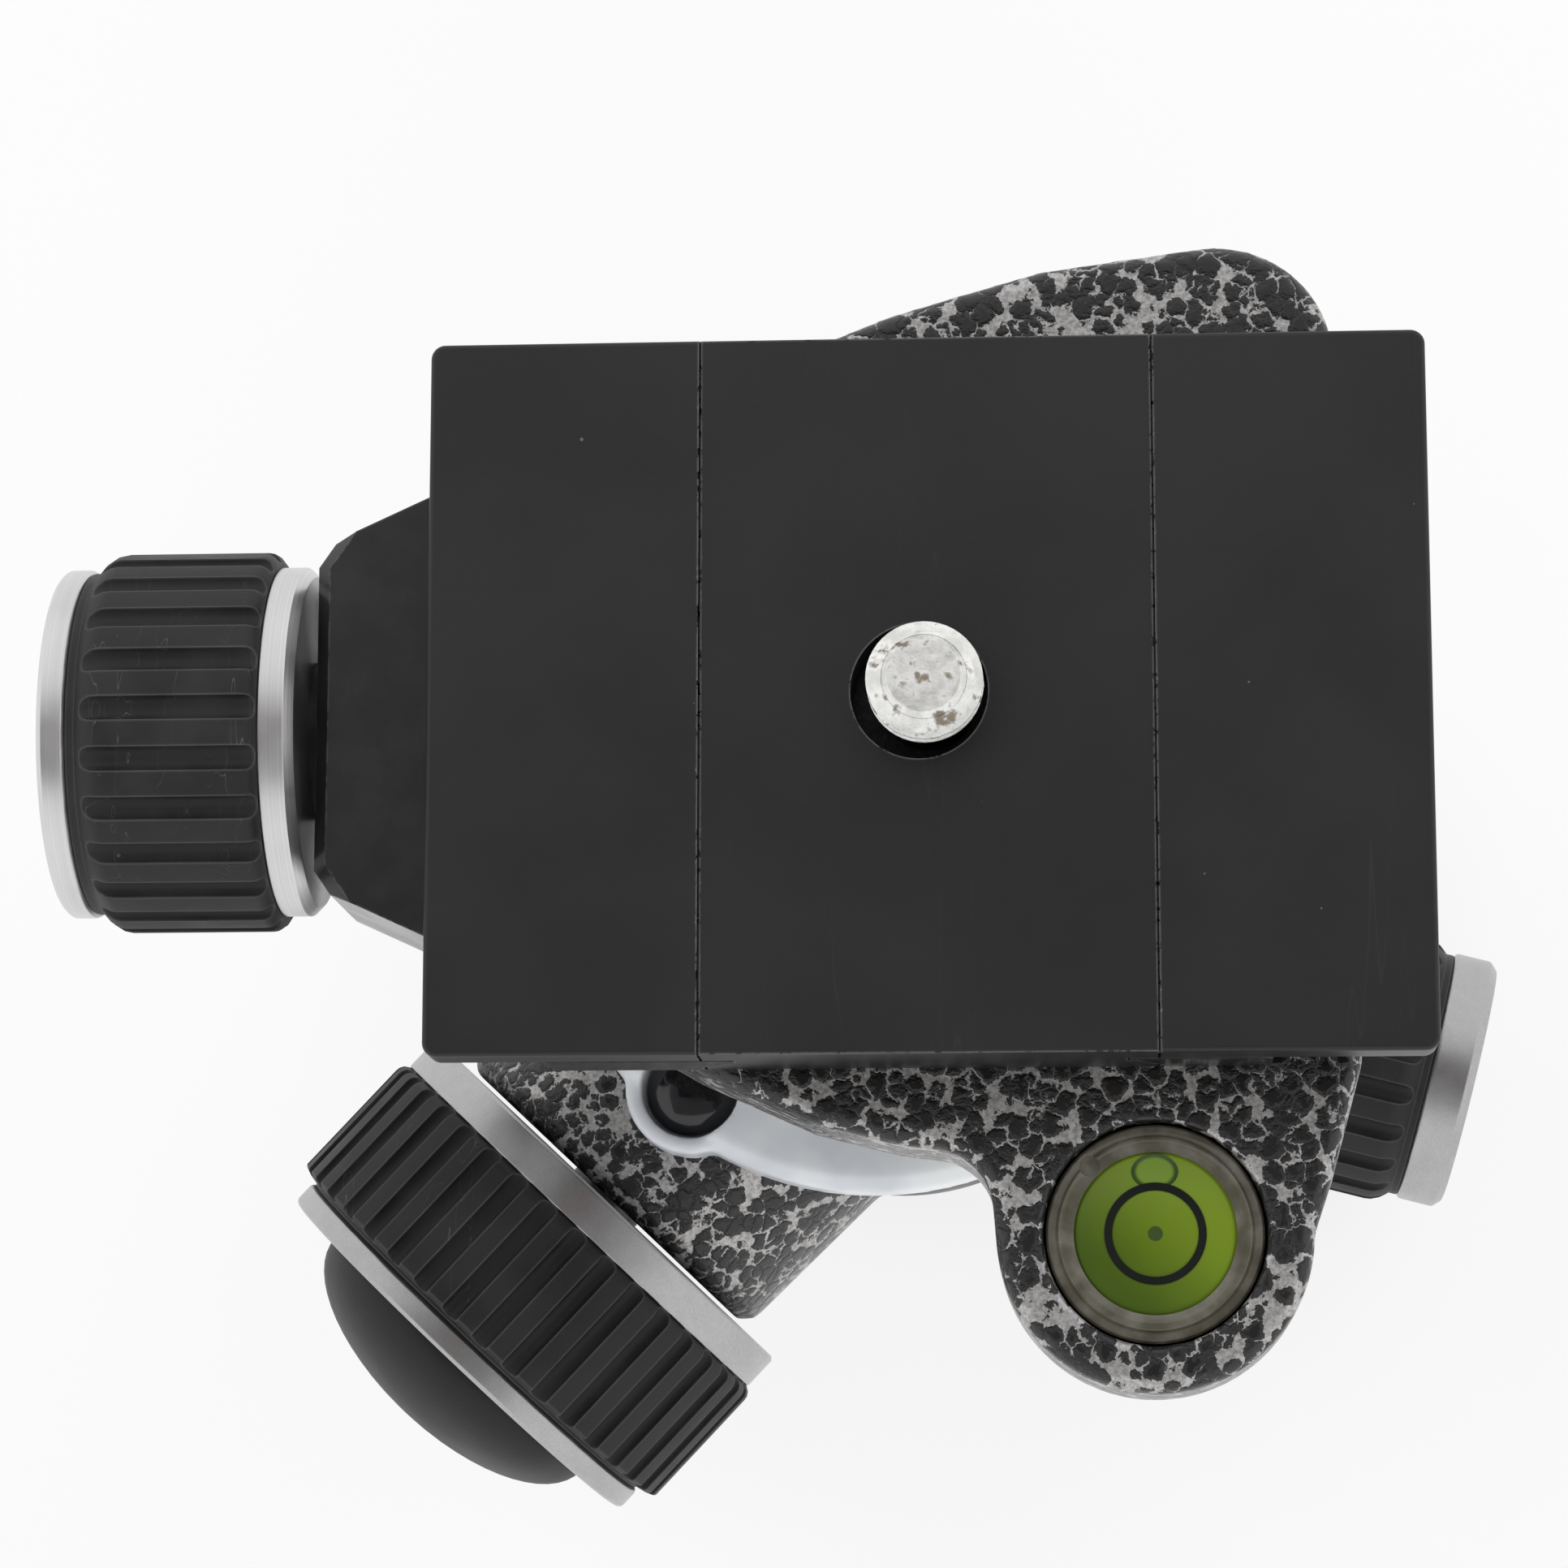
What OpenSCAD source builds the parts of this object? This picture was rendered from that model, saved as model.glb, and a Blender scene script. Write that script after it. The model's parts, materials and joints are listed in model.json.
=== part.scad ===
// Tripod ball head with a screw clamp and a dovetail quick-release plate.
// Millimetres. The origin is on the panning axis, in the base's bottom face, with +Z up.
// The main parts are turned about that axis, and the clamp is set off to the side of it.

/* [Tripod base] */
// Radius of the base disc
base_r = 24.2; // [23.2:0.1:27]
// Thickness of the base disc
base_h = 7; // [6:0.5:9]
// Radius of the tripod socket, a 3/8 inch thread's major radius
socket_r = 4.7625; // [3.175:0.0001:5]
// Depth of the tripod socket
socket_depth = 10.5; // [8:0.5:11]
// Outer radius of the threaded bush
bush_r = 8; // [7:0.1:8.3]
// Length of the threaded bush
bush_len = 12; // [11.5:0.5:14]
// Radius of the panning spindle
spindle_r = 13; // [12.6:0.1:14]
// Radius of the spindle's threaded top
stub_r = 9; // [7:0.5:10]
// Outer radius of the spindle nut
spindle_nut_r = 16; // [15:0.5:17]
// Thickness of the spindle nut
spindle_nut_h = 4; // [3:0.5:5]
// Thickness of the sliding washer under the housing
slide_washer_t = 1.2; // [0.8:0.1:2]

/* [Housing] */
// Thickness of the housing's wall round the ball
housing_wall = 5.6; // [5:0.2:7]
// Height over which the housing's body tapers out from the base
taper_h = 40; // [20:1:45]
// Length of the spindle's bearing in the housing
bearing_len = 16.1; // [14:0.1:17]
// Height of the ball's centre above the base's bottom
ball_z = 60; // [60:0.5:64]
// Height of the housing's top edge above the ball's centre
housing_rise = 5.5; // [5:0.25:6]
// How far the collar stands out past the housing
collar_rim = 1.8; // [1.4:0.1:4]
// Thickness of the collar
collar_h = 5.5; // [5:0.25:7]
// Radius of the collar's screw heads
collar_head_r = 2.1; // [1.9:0.05:2.2]
// Depth of the collar's screw heads below its top
collar_head_sink = 2.2; // [2:0.1:2.6]
// Direction of the collar's lobe, from +X towards +Y
lobe_az = 231; // [225:1:235]
// Distance of the lobe's screw from the ball's surface
lobe_reach = 3.8; // [3.5:0.1:4.5]
// Radius of the lobe
lobe_r = 6; // [5.5:0.1:6.5]
// Radius of the recess in the lobe
lobe_recess_r = 4.5; // [4:0.1:4.7]
// Half the width of the drop notch at the back
notch_half_w = 10; // [9.8:0.1:11]

/* [Ball and stem] */
// Radius of the ball
ball_r = 23; // [22.5:0.1:23.1]
// Radius of the flat on the ball's top
ball_flat_r = 10.4; // [10:0.1:11]
// Radius of the stem's waist
stem_r = 8.6; // [7.5:0.1:9]
// Radius of the stem's top flange
stem_flange_r = 15; // [13:0.5:17]
// Thickness of the stem's top flange
stem_flange_h = 3; // [2:0.5:4]
// Length of the stem from the ball's flat to the clamp
stem_len = 19.5; // [18:0.5:24]

/* [Main lock] */
// Direction of the main knob, from +X towards +Y
main_az = 226.7; // [222:0.1:230]
// Height of the main knob's axis
main_z = 47; // [47:0.5:50]
// Radius of the boss that carries the main knob
main_boss_r = 18.4; // [16:0.2:18.4]
// Distance of the boss's end from the panning axis
main_boss_end = 39.05; // [37:0.05:41]
// Radius of the shoe that presses on the ball
ball_shoe_r = 6; // [5:0.1:6.5]
// Radius of the main lock screw
main_screw_r = 4; // [3:0.1:4.5]
// Radius of the main knob's grip
main_grip_r = 23; // [22:0.1:25]
// Length of the main knob's grip
main_grip_len = 14.4; // [12:0.2:17]
// Number of ribs on the main knob's grip
main_ribs = 38; // [24:1:42]
// Radius of the main knob's outer ring
main_outer_ring_r = 21.35; // [20.6:0.05:22]
// Thickness of the main knob's outer ring
main_outer_ring_t = 2.4; // [1.8:0.1:3]
// Radius of the main knob's inner ring
main_inner_ring_r = 22.3; // [21:0.1:23]
// Thickness of the main knob's inner ring
main_inner_ring_t = 3.6; // [2.5:0.1:4.5]
// Radius of the dome cap on the main knob
dome_r = 16.2; // [15:0.1:18]
// Height of the dome cap
dome_h = 7.4; // [5:0.1:9]

/* [Panning lock] */
// Direction of the panning knob, from +X towards +Y
pan_az = -14.5; // [-18:0.5:-10]
// Height of the panning knob's axis
pan_z = 18; // [18:0.25:19]
// Radius of the boss that carries the panning knob
pan_boss_r = 9.5; // [8.5:0.1:9.6]
// Distance of that boss's end from the panning axis
pan_boss_end = 42.75; // [40:0.05:44]
// Radius of the shoe that presses on the spindle
pan_shoe_r = 4.5; // [4:0.1:5]
// Radius of the panning lock screw
pan_screw_r = 3; // [2.5:0.1:3.5]
// Radius of the panning knob's grip
pan_grip_r = 13.6; // [12.8:0.1:13.8]
// Length of the panning knob's grip
pan_grip_len = 9.7; // [8:0.1:12]
// Number of ribs on the panning knob's grip
pan_ribs = 20; // [14:1:24]
// Radius of the panning knob's rings
pan_ring_r = 12.75; // [12:0.05:13.5]
// Thickness of the panning knob's outer ring
pan_outer_ring_t = 4.5; // [3:0.1:5.5]
// Thickness of the panning knob's inner ring
pan_inner_ring_t = 2.5; // [2:0.1:3.5]

/* [Clamp] */
// Height of the clamp casting
casting_h = 12; // [11.5:0.25:14]
// Distance of the clamp's screw axis from the stem's axis, along Y
clamp_y = 5.3; // [4:0.1:6.5]
// Height of the clamp's screw axis above the casting's bottom
clamp_screw_rise = 4.5; // [4.2:0.1:5]
// Radius of the clamp's screw
clamp_screw_r = 3; // [2.5:0.1:3.4]
// Radius of the two guide pins
guide_pin_r = 2.5; // [2:0.1:3]
// Distance between the two guide pins
guide_pin_gap = 22; // [20:0.5:24]
// Distance of the casting's left side from the stem's axis
casting_left = 34.6; // [33:0.1:34.8]
// Radius of the ear that holds the level
ear_r = 13.1; // [12.5:0.1:14]
// Place of the ear's centre
ear_at = [25, -37.9];
// Distance of the jaw's outer face from the stem's axis
jaw_outer = 45; // [44:0.1:46]
// Length of the jaw's outer face
jaw_face_len = 28.8; // [27:0.1:31]
// Slope of the jaw's two slanted sides, as sideways run per unit outwards
jaw_flare = 0.46; // [0.4:0.01:0.6]
// Distance of the jaw's shoulder, where its sides turn outwards under the plate, from its outer face
jaw_shoulder = 12; // [10.5:0.1:13]
// Height of the jaw's outer block above the casting's top
jaw_block_rise = 2; // [1:0.1:3]
// Depth of the jaw's outer block below the casting's bottom
jaw_block_drop = 2; // [0:0.5:3]
// Radius of the clamp knob's grip
clamp_grip_r = 16.3; // [15.6:0.1:17]
// Length of the clamp knob's grip
clamp_grip_len = 16.2; // [13:0.1:18]
// Number of ribs on the clamp knob's grip
clamp_ribs = 24; // [16:1:30]
// Radius of the clamp knob's rings
clamp_ring_r = 15; // [14.5:0.05:15.5]
// Thickness of the clamp knob's outer ring
clamp_outer_ring_t = 2.4; // [1.8:0.1:3]
// Thickness of the clamp knob's inner ring
clamp_inner_ring_t = 3; // [2:0.1:4]
// Radius of the clamp knob's neck
clamp_neck_r = 6.8; // [6:0.1:7.5]
// Length of the neck between the jaw and the inner ring
clamp_neck_len = 1; // [0.6:0.1:2]

/* [Level] */
// Radius of the level's vial
vial_r = 8.75; // [8:0.05:9]
// Height of the vial
vial_h = 8.7; // [7:0.1:8.8]
// Radius of the liquid in the vial
fluid_r = 6.7; // [5.5:0.1:7.2]
// Radius of the bubble
bubble_r = 1.95; // [1.2:0.05:2.4]

/* [Quick-release plate] */
// Length of the plate along X
plate_l = 82.4; // [70:0.1:86]
// Width of the plate along Y
plate_w = 59.8; // [56:0.1:62]
// Thickness of the plate's wings
wing_t = 4.3; // [3.5:0.1:5]
// Place of the plate's centre
plate_at = [6.75, 5.7];
// Radius of the plate's corners
plate_corner_r = 1.2; // [0.8:0.1:2]
// Width of the dovetail foot
foot_w = 38; // [37:0.1:38.5]
// Width of the dovetail's neck
neck_w = 32.2; // [31:0.1:33]
// Height of the foot below the wings
foot_h = 5.7; // [5:0.1:6.5]
// Height of the foot's upright edge
foot_edge_h = 1.3; // [1:0.1:1.6]
// Height of the dovetail's slope
dovetail_rise = 2.9; // [2.5:0.1:3]
// Depth of the lower middle zone in the plate's top
zone_depth = 0.2; // [0.1:0.05:0.4]
// Width of that middle zone
zone_w = 37.5; // [34:0.1:40]
// Radius of the clearance hole for the camera screw
plate_hole_r = 5.65; // [5.2:0.05:6]
// Height that the camera screw stands above the plate
stud_rise = 6; // [5:0.1:6.5]
// Radius of the camera screw's head
screw_head_r = 10.4; // [9:0.1:10.5]

/* [Fits] */
// Running clearance on the radius of a shaft in its bore
fit = 0.05; // [0.02:0.01:0.08]
// Gap between two faces that slide on each other
slide_gap = 0.05; // [0.02:0.01:0.1]
// Gap between the ball and what holds it
ball_gap = 0.3; // [0.2:0.05:0.35]

/* [Hidden] */
$fn = 64;
eps = 0.01;

// Heights, from the base up
housing_z = base_h + slide_washer_t;
ledge_z = housing_z + bearing_len;
shoulder_z = ledge_z + 0.2;
nut_top_z = shoulder_z + spindle_nut_h;
stub_top_z = nut_top_z + 0.4;
seat_z = ball_z - ball_r - 0.5;
housing_top_z = ball_z + housing_rise;
collar_top_z = housing_top_z + collar_h;
ball_flat_rise = sqrt(pow(ball_r, 2) - pow(ball_flat_r, 2));
flat_z = ball_z + ball_flat_rise;
casting_z = flat_z + stem_len;
bed_z = casting_z + casting_h;
foot_z = bed_z + slide_gap;
wing_z = foot_z + foot_h;
plate_top_z = wing_z + wing_t;
stud_top_z = plate_top_z + stud_rise;

// Circle of the spindle screws, between the bush and the spindle's surface
spindle_screw_pitch_r = (bush_r + spindle_r) / 2 + 0.2;

// Radii of the housing's body and of the collar
housing_r = ball_r + housing_wall;
collar_r = housing_r + collar_rim;

// Inside of the housing
bearing_r = spindle_r + fit;
nut_room_r = spindle_nut_r + 0.6;
lower_seat_r = ball_r - 5;
lower_seat_h = main_z - ball_shoe_r - seat_z;
pocket_r = lower_seat_r + fit;
pocket_top_z = seat_z + lower_seat_h + 2;
socket_wall_r = ball_r + 0.5;
cone_top_z = pocket_top_z + 9;
upper_seat_r = ball_r + 1.9;
upper_seat_drop = 3.5;
upper_seat_rise = 1.5;
upper_pocket_r = upper_seat_r + fit;
notch_z = ball_z;

// Screws of the collar, with the lobe's one left out
collar_screw_az = [-40, 45, 135];
collar_screw_dist = (upper_pocket_r + housing_r) / 2;
collar_screw_r = 1;
collar_head_h = 1.6;
collar_screw_len = 9;

// The lobe's screw, and the floor of its recess above the housing's top
lobe_dist = ball_r + lobe_reach;
lobe_floor_rise = 2.1;
lobe_screw_r = 1.5;
lobe_screw_len = 9;
lobe_floor_z = housing_top_z + lobe_floor_rise;

// Locks
lock_seat_gap = 0.35;
ball_shoe_tip = ball_r - 9;
ball_shoe_back = ball_r + 4;
main_bush_in = ball_shoe_back + 2.5;
main_bush_r = 9;
main_knob_in = main_boss_end + lock_seat_gap;
main_grip_in = main_knob_in + main_inner_ring_t;
main_grip_out = main_grip_in + main_grip_len;
main_ring_out = main_grip_out + main_outer_ring_t;
main_screw_end = main_grip_in + 7;
main_core_r = main_grip_r - 3.5;
main_hub_r = 10;
dome_spigot_r = 12;
pan_shoe_back = 26;
pan_bush_in = 34;
pan_bush_r = 6;
pan_knob_in = pan_boss_end + lock_seat_gap;
pan_grip_in = pan_knob_in + pan_inner_ring_t;
pan_grip_out = pan_grip_in + pan_grip_len;
pan_ring_out = pan_grip_out + pan_outer_ring_t;
pan_screw_end = pan_grip_in + 6;
pan_core_r = pan_grip_r - 2.8;
pan_hub_r = 6;
pan_cap_r = 8.4;
pan_cap_sink = 0.5;

// Ribbed grips: how deep the grooves are, and the slopes and lips at their ends
rib_h = 0.9;
grip_inner_slope = 1.2;
grip_outer_slope = 1.9;
grip_lip = 0.8;
main_grip_slope = 0.5;
main_grip_lip = 0.2;

// Clamp
clamp_screw_z = casting_z + clamp_screw_rise;
jaw_inner = casting_left + 0.6;
clamp_knob_in = jaw_outer + clamp_neck_len;
clamp_grip_in = clamp_knob_in + clamp_inner_ring_t;
clamp_grip_out = clamp_grip_in + clamp_grip_len;
clamp_ring_out = clamp_grip_out + clamp_outer_ring_t;
clamp_core_r = clamp_grip_r - 2.8;
clamp_cap_r = 10.5;
clamp_cap_sink = 0.6;
clamp_screw_root = 18;
clamp_screw_end = clamp_grip_in + 11;
pin_root = 20;
pin_end = 42;
pin_z = casting_z + 6;
south_y = plate_at[1] - plate_w / 2;
north_y = plate_at[1] + plate_w / 2;
jaw_left_x = plate_at[0] - foot_w / 2;
lip_left_x = plate_at[0] - neck_w / 2;
rail_top_z = wing_z - 0.3;
rail_out_x = 34.8;
rail_screw_x = 30.2;
rail_screw_y = [-13, 24.4];
rail_screw_r = 2;
rail_head_r = 3.4;
rail_head_h = 3;
rail_screw_len = 12;
rail_screw_sink = 0.3;
stem_root = 11.5;
stem_spigot_r = 7;
stem_spigot_h = 2.5;
stem_bolt_r = 4;
stem_head_r = 6.5;
stem_head_h = 4.8;
stem_washer_t = 1.2;
stem_seat_z = bed_z - stem_head_h - stem_washer_t - 0.5;
stem_bolt_low_z = flat_z + 6;
ear_pocket_r = vial_r + 0.45;
ear_floor_z = bed_z - vial_h - 0.3;

// Outline of the clamp casting, in the order that it is drawn
casting_half_w = 17;
casting_south = [[-13.2, south_y], [-3.4, -28.6], [3.6, -30.4]];
ear_fillet_at = [6.5, -36];
ear_fillet_r = 5.2;
casting_east = [[39.5, -33.8], [42.2, -23.9], [43, 6]];
bulge_at = [31, 36.1];
bulge_r = 10;
casting_north = [[16.3, 44.2], [9.5, 42.3], [3.1, 40.4], [-8.6, 35.7]];
casting_edge = 1.2;

// Plate
counterbore_r = 11;
stud_neck_r = socket_r - 0.8;
head_top_z = wing_z - 1.4;
head_low_z = head_top_z - 2.2;
clip_z = foot_z + 0.8;
clip_t = 0.8;
clip_r = 11.6;

// Points on an arc about c, from angle a0 to a1, both included
function arc(c, r, a0, a1, n) =
    [for (i = [0:n]) c + r * [cos(a0 + (a1 - a0) * i / n), sin(a0 + (a1 - a0) * i / n)]];

// A solid turned about Z from (radius, height) points
module turned(points) {
    rotate_extrude() polygon(points);
}

// A plain or hollow cylinder between two heights
module ring(r, z0, z1, hole = 0) {
    difference() {
        translate([0, 0, z0]) cylinder(r = r, h = z1 - z0);
        if (hole > 0) translate([0, 0, z0 - 1]) cylinder(r = hole, h = z1 - z0 + 2);
    }
}

// A hollow cylinder with its two outer edges chamfered
module chamfered_ring(r, z0, z1, hole, edge) {
    turned([[hole, z0], [r - edge, z0], [r, z0 + edge], [r, z1 - edge], [r - edge, z1], [hole, z1]]);
}

// Turns the children's Z axis outwards along a direction at a height
module outwards(az, z) {
    translate([0, 0, z]) rotate([0, 90, az]) children();
}

// A rubber grip about Z. Its grooves run out on the slope down to a smooth lip at its outer end
module ribbed_grip(r, z0, z1, hole, ribs, lip_r, slope = grip_outer_slope, lip = grip_lip) {
    groove_w = PI * (r - rib_h) / ribs;
    difference() {
        turned([[hole, z0], [r - rib_h, z0], [r, z0 + grip_inner_slope],
                [r, z1 - lip - slope], [lip_r, z1 - lip], [lip_r, z1], [hole, z1]]);
        for (i = [0:ribs - 1])
            rotate([0, 0, 360 * i / ribs])
                translate([r - rib_h, -groove_w / 2, z0 - 1])
                    cube([rib_h + 1, groove_w, z1 - z0 + 2]);
    }
}

// ---------------------------------------------------------------- tripod base

module base_disc() {
    edge = 0.8;
    color("dimgray") difference() {
        turned([[0, 0], [base_r - edge, 0], [base_r, edge], [base_r, base_h - edge],
                [base_r - edge, base_h], [0, base_h]]);
        ring(bush_r + fit, -1, base_h + 1);
        spindle_screw_holes(0.1);
    }
}

// The spindle screws' shape, grown by a clearance
module spindle_screw_shape(gap) {
    for (a = [30:120:270])
        rotate([0, 0, a]) translate([spindle_screw_pitch_r, 0, 0]) {
            ring(1.5 + gap, 2, base_h + 6 + gap);
            ring(2.5 + gap, 0.4, 2.4);
        }
}

module spindle_screw_holes(gap) {
    spindle_screw_shape(gap);
    for (a = [30:120:270])
        rotate([0, 0, a]) translate([spindle_screw_pitch_r, 0, 0]) ring(2.5 + gap, -1, 0.5);
}

module spindle_screws() {
    color("silver") difference() {
        spindle_screw_shape(0);
        for (a = [30:120:270])
            rotate([0, 0, a]) translate([spindle_screw_pitch_r, 0, 0])
                cylinder(r = 1.15, h = 1.6, $fn = 6);
    }
}

module tripod_bush() {
    color("silver") difference() {
        ring(bush_r, 0, bush_len);
        ring(socket_r, -1, socket_depth);
    }
}

module spindle() {
    color("darkgray") difference() {
        turned([[0, base_h], [spindle_r, base_h], [spindle_r, shoulder_z], [stub_r, shoulder_z],
                [stub_r, stub_top_z - 0.6], [stub_r - 0.6, stub_top_z], [0, stub_top_z]]);
        ring(bush_r + fit, base_h - 1, bush_len + 0.1);
        spindle_screw_shape(0.05);
    }
}

module spindle_nut() {
    color("goldenrod") difference() {
        chamfered_ring(spindle_nut_r, shoulder_z, nut_top_z, stub_r + fit, 0.4);
        for (a = [0, 180])
            rotate([0, 0, a]) translate([(stub_r + spindle_nut_r) / 2, 0, 0])
                ring(1.5, shoulder_z + 1, nut_top_z + 1);
    }
}

module sliding_washer() {
    color("whitesmoke") ring(base_r - 2, base_h, housing_z, spindle_r + 0.3);
}

// ------------------------------------------------------------------- housing

module housing() {
    skirt_r = base_r - 0.2;
    color("gray") difference() {
        union() {
            turned([[0, housing_z], [skirt_r - 0.6, housing_z], [skirt_r, housing_z + 0.6],
                    [skirt_r, housing_z + 5], [housing_r, housing_z + taper_h],
                    [housing_r, housing_top_z], [0, housing_top_z]]);
            outwards(main_az, main_z)
                turned([[0, 10], [main_boss_r + 1.2, 10], [main_boss_r, main_boss_end - 1.2],
                        [main_boss_r - 1.2, main_boss_end], [0, main_boss_end]]);
            outwards(pan_az, pan_z)
                turned([[0, 15], [pan_boss_r, 15], [pan_boss_r, pan_boss_end - 0.8],
                        [pan_boss_r - 0.8, pan_boss_end], [0, pan_boss_end]]);
        }
        turned([[0, housing_z - 1], [bearing_r, housing_z - 1], [bearing_r, ledge_z],
                [nut_room_r, ledge_z], [nut_room_r, seat_z], [pocket_r, seat_z],
                [pocket_r, pocket_top_z], [socket_wall_r, cone_top_z],
                [socket_wall_r, housing_top_z - upper_seat_drop],
                [upper_pocket_r, housing_top_z - upper_seat_drop],
                [upper_pocket_r, housing_top_z + 1], [0, housing_top_z + 1]]);
        outwards(main_az, main_z) {
            ring(ball_shoe_r + fit, 12, main_bush_in + 1);
            ring(main_bush_r + fit, main_bush_in, main_boss_end + 1);
        }
        outwards(pan_az, pan_z) {
            ring(pan_shoe_r + fit, 8, pan_bush_in + 1);
            ring(pan_bush_r + fit, pan_bush_in, pan_boss_end + 1);
        }
        drop_notch();
        collar_screw_shape(0.05);
        lobe_screw_shape(0.05);
        ring(housing_r + 12, housing_top_z, housing_top_z + 10);
    }
}

// The slot at the back that the stem drops into
module drop_notch() {
    translate([0, 0, notch_z]) rotate([-90, 0, 0]) cylinder(r = notch_half_w, h = 60);
    translate([-notch_half_w, 0, notch_z]) cube([2 * notch_half_w, 60, 40]);
}

module collar() {
    edge = 1.3;
    color("lightsteelblue") difference() {
        union() {
            turned([[0, housing_top_z], [collar_r, housing_top_z], [collar_r, collar_top_z - edge],
                    [collar_r - edge, collar_top_z], [0, collar_top_z]]);
            rotate([0, 0, lobe_az]) translate([lobe_dist, 0, 0])
                ring(lobe_r, housing_top_z, collar_top_z - edge / 2);
        }
        ring(upper_pocket_r, housing_top_z - 1, housing_top_z + upper_seat_rise + 0.05);
        translate([0, 0, ball_z]) sphere(r = ball_r + ball_gap + 0.1, $fn = 96);
        translate([0, 0, collar_top_z - 0.8]) cylinder(r1 = collar_mouth_r() - 0.2,
                                                       r2 = collar_mouth_r() + 0.8, h = 0.9);
        drop_notch();
        rotate([0, 0, lobe_az]) translate([lobe_dist, 0, 0])
            ring(lobe_recess_r, lobe_floor_z, collar_top_z + 1);
        lobe_screw_shape(0.05);
        collar_screw_shape(0.05);
        for (a = collar_screw_az)
            rotate([0, 0, a]) translate([collar_screw_dist, 0, 0])
                ring(collar_head_r + 0.05, collar_top_z - collar_head_sink, collar_top_z + 1);
    }
}

// Radius of the collar's mouth at its top
function collar_mouth_r() =
    sqrt(pow(ball_r + ball_gap + 0.1, 2) - pow(collar_top_z - ball_z, 2));

module collar_screw_shape(gap) {
    head_z = collar_top_z - collar_head_sink;
    for (a = collar_screw_az)
        rotate([0, 0, a]) translate([collar_screw_dist, 0, 0]) {
            ring(collar_screw_r + gap, head_z - collar_screw_len - gap, head_z + 0.5);
            ring(collar_head_r + gap, head_z, head_z + collar_head_h);
        }
}

module collar_screws() {
    head_z = collar_top_z - collar_head_sink;
    color("dimgray") difference() {
        collar_screw_shape(0);
        for (a = collar_screw_az)
            rotate([0, 0, a]) translate([collar_screw_dist, 0, head_z + 0.5])
                cylinder(r = 1, h = 3, $fn = 6);
    }
}

// The lobe's screw, below its domed head
module lobe_screw_shape(gap) {
    rotate([0, 0, lobe_az]) translate([lobe_dist, 0, 0])
        ring(lobe_screw_r + gap, lobe_floor_z - lobe_screw_len - gap, lobe_floor_z + 0.5);
}

module collar_lobe_screw() {
    color("dimgray") {
        lobe_screw_shape(0);
        rotate([0, 0, lobe_az]) translate([lobe_dist, 0, lobe_floor_z])
            turned([[0, 0], [lobe_recess_r - 0.3, 0], [lobe_recess_r - 0.3, 0.9],
                    [lobe_recess_r - 1.3, 1.8], [lobe_recess_r - 2.7, 2.3], [0, 2.5]]);
    }
}

module upper_seat() {
    color("whitesmoke") difference() {
        ring(upper_seat_r, housing_top_z - upper_seat_drop, housing_top_z + upper_seat_rise);
        translate([0, 0, ball_z]) sphere(r = ball_r + ball_gap, $fn = 96);
        drop_notch();
    }
}

module lower_seat() {
    color("whitesmoke") difference() {
        ring(lower_seat_r, seat_z, seat_z + lower_seat_h, 8);
        translate([0, 0, ball_z]) sphere(r = ball_r + ball_gap, $fn = 96);
    }
}

module main_bush() {
    color("goldenrod") outwards(main_az, main_z)
        ring(main_bush_r, main_bush_in, main_boss_end, main_screw_r + fit);
}

module pan_bush() {
    color("goldenrod") outwards(pan_az, pan_z)
        ring(pan_bush_r, pan_bush_in, pan_boss_end, pan_screw_r + fit);
}

// ----------------------------------------------------------------- main lock

module ball_shoe() {
    color("whitesmoke") difference() {
        outwards(main_az, main_z) ring(ball_shoe_r, ball_shoe_tip, ball_shoe_back);
        translate([0, 0, ball_z]) sphere(r = ball_r + ball_gap, $fn = 96);
    }
}

module main_lock_screw() {
    color("silver") outwards(main_az, main_z)
        turned([[0, ball_shoe_back], [main_screw_r - 0.8, ball_shoe_back],
                [main_screw_r, ball_shoe_back + 0.8], [main_screw_r, main_screw_end],
                [0, main_screw_end]]);
}

module main_knob_core() {
    color("#202022") outwards(main_az, main_z) difference() {
        turned([[0, main_knob_in], [main_hub_r, main_knob_in], [main_hub_r, main_grip_in],
                [main_core_r, main_grip_in], [main_core_r, main_grip_out], [0, main_grip_out]]);
        ring(main_screw_r, main_knob_in - 1, main_screw_end);
    }
}

module main_knob_grip() {
    color("#1c1c1e") outwards(main_az, main_z)
        ribbed_grip(main_grip_r, main_grip_in, main_grip_out, main_core_r, main_ribs,
                    main_outer_ring_r - 0.3, main_grip_slope, main_grip_lip);
}

module main_knob_outer_ring() {
    color("silver") outwards(main_az, main_z)
        chamfered_ring(main_outer_ring_r, main_grip_out, main_ring_out, dome_spigot_r, 0.3);
}

module main_knob_inner_ring() {
    color("silver") outwards(main_az, main_z)
        chamfered_ring(main_inner_ring_r, main_knob_in, main_grip_in, main_hub_r, 0.6);
}

module main_knob_dome() {
    color("#18181a") outwards(main_az, main_z)
        turned(concat([[0, main_grip_out], [dome_spigot_r, main_grip_out],
                       [dome_spigot_r, main_ring_out]],
                      [for (i = [0:12]) [dome_r * cos(7.5 * i), main_ring_out + dome_h * sin(7.5 * i)]]));
}

// -------------------------------------------------------------- panning lock

module pan_shoe() {
    color("goldenrod") difference() {
        outwards(pan_az, pan_z) ring(pan_shoe_r, 10, pan_shoe_back);
        ring(spindle_r + 0.3, 0, 40);
    }
}

module pan_lock_screw() {
    color("silver") outwards(pan_az, pan_z)
        turned([[0, pan_shoe_back], [pan_screw_r - 0.6, pan_shoe_back],
                [pan_screw_r, pan_shoe_back + 0.6], [pan_screw_r, pan_screw_end],
                [0, pan_screw_end]]);
}

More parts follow.
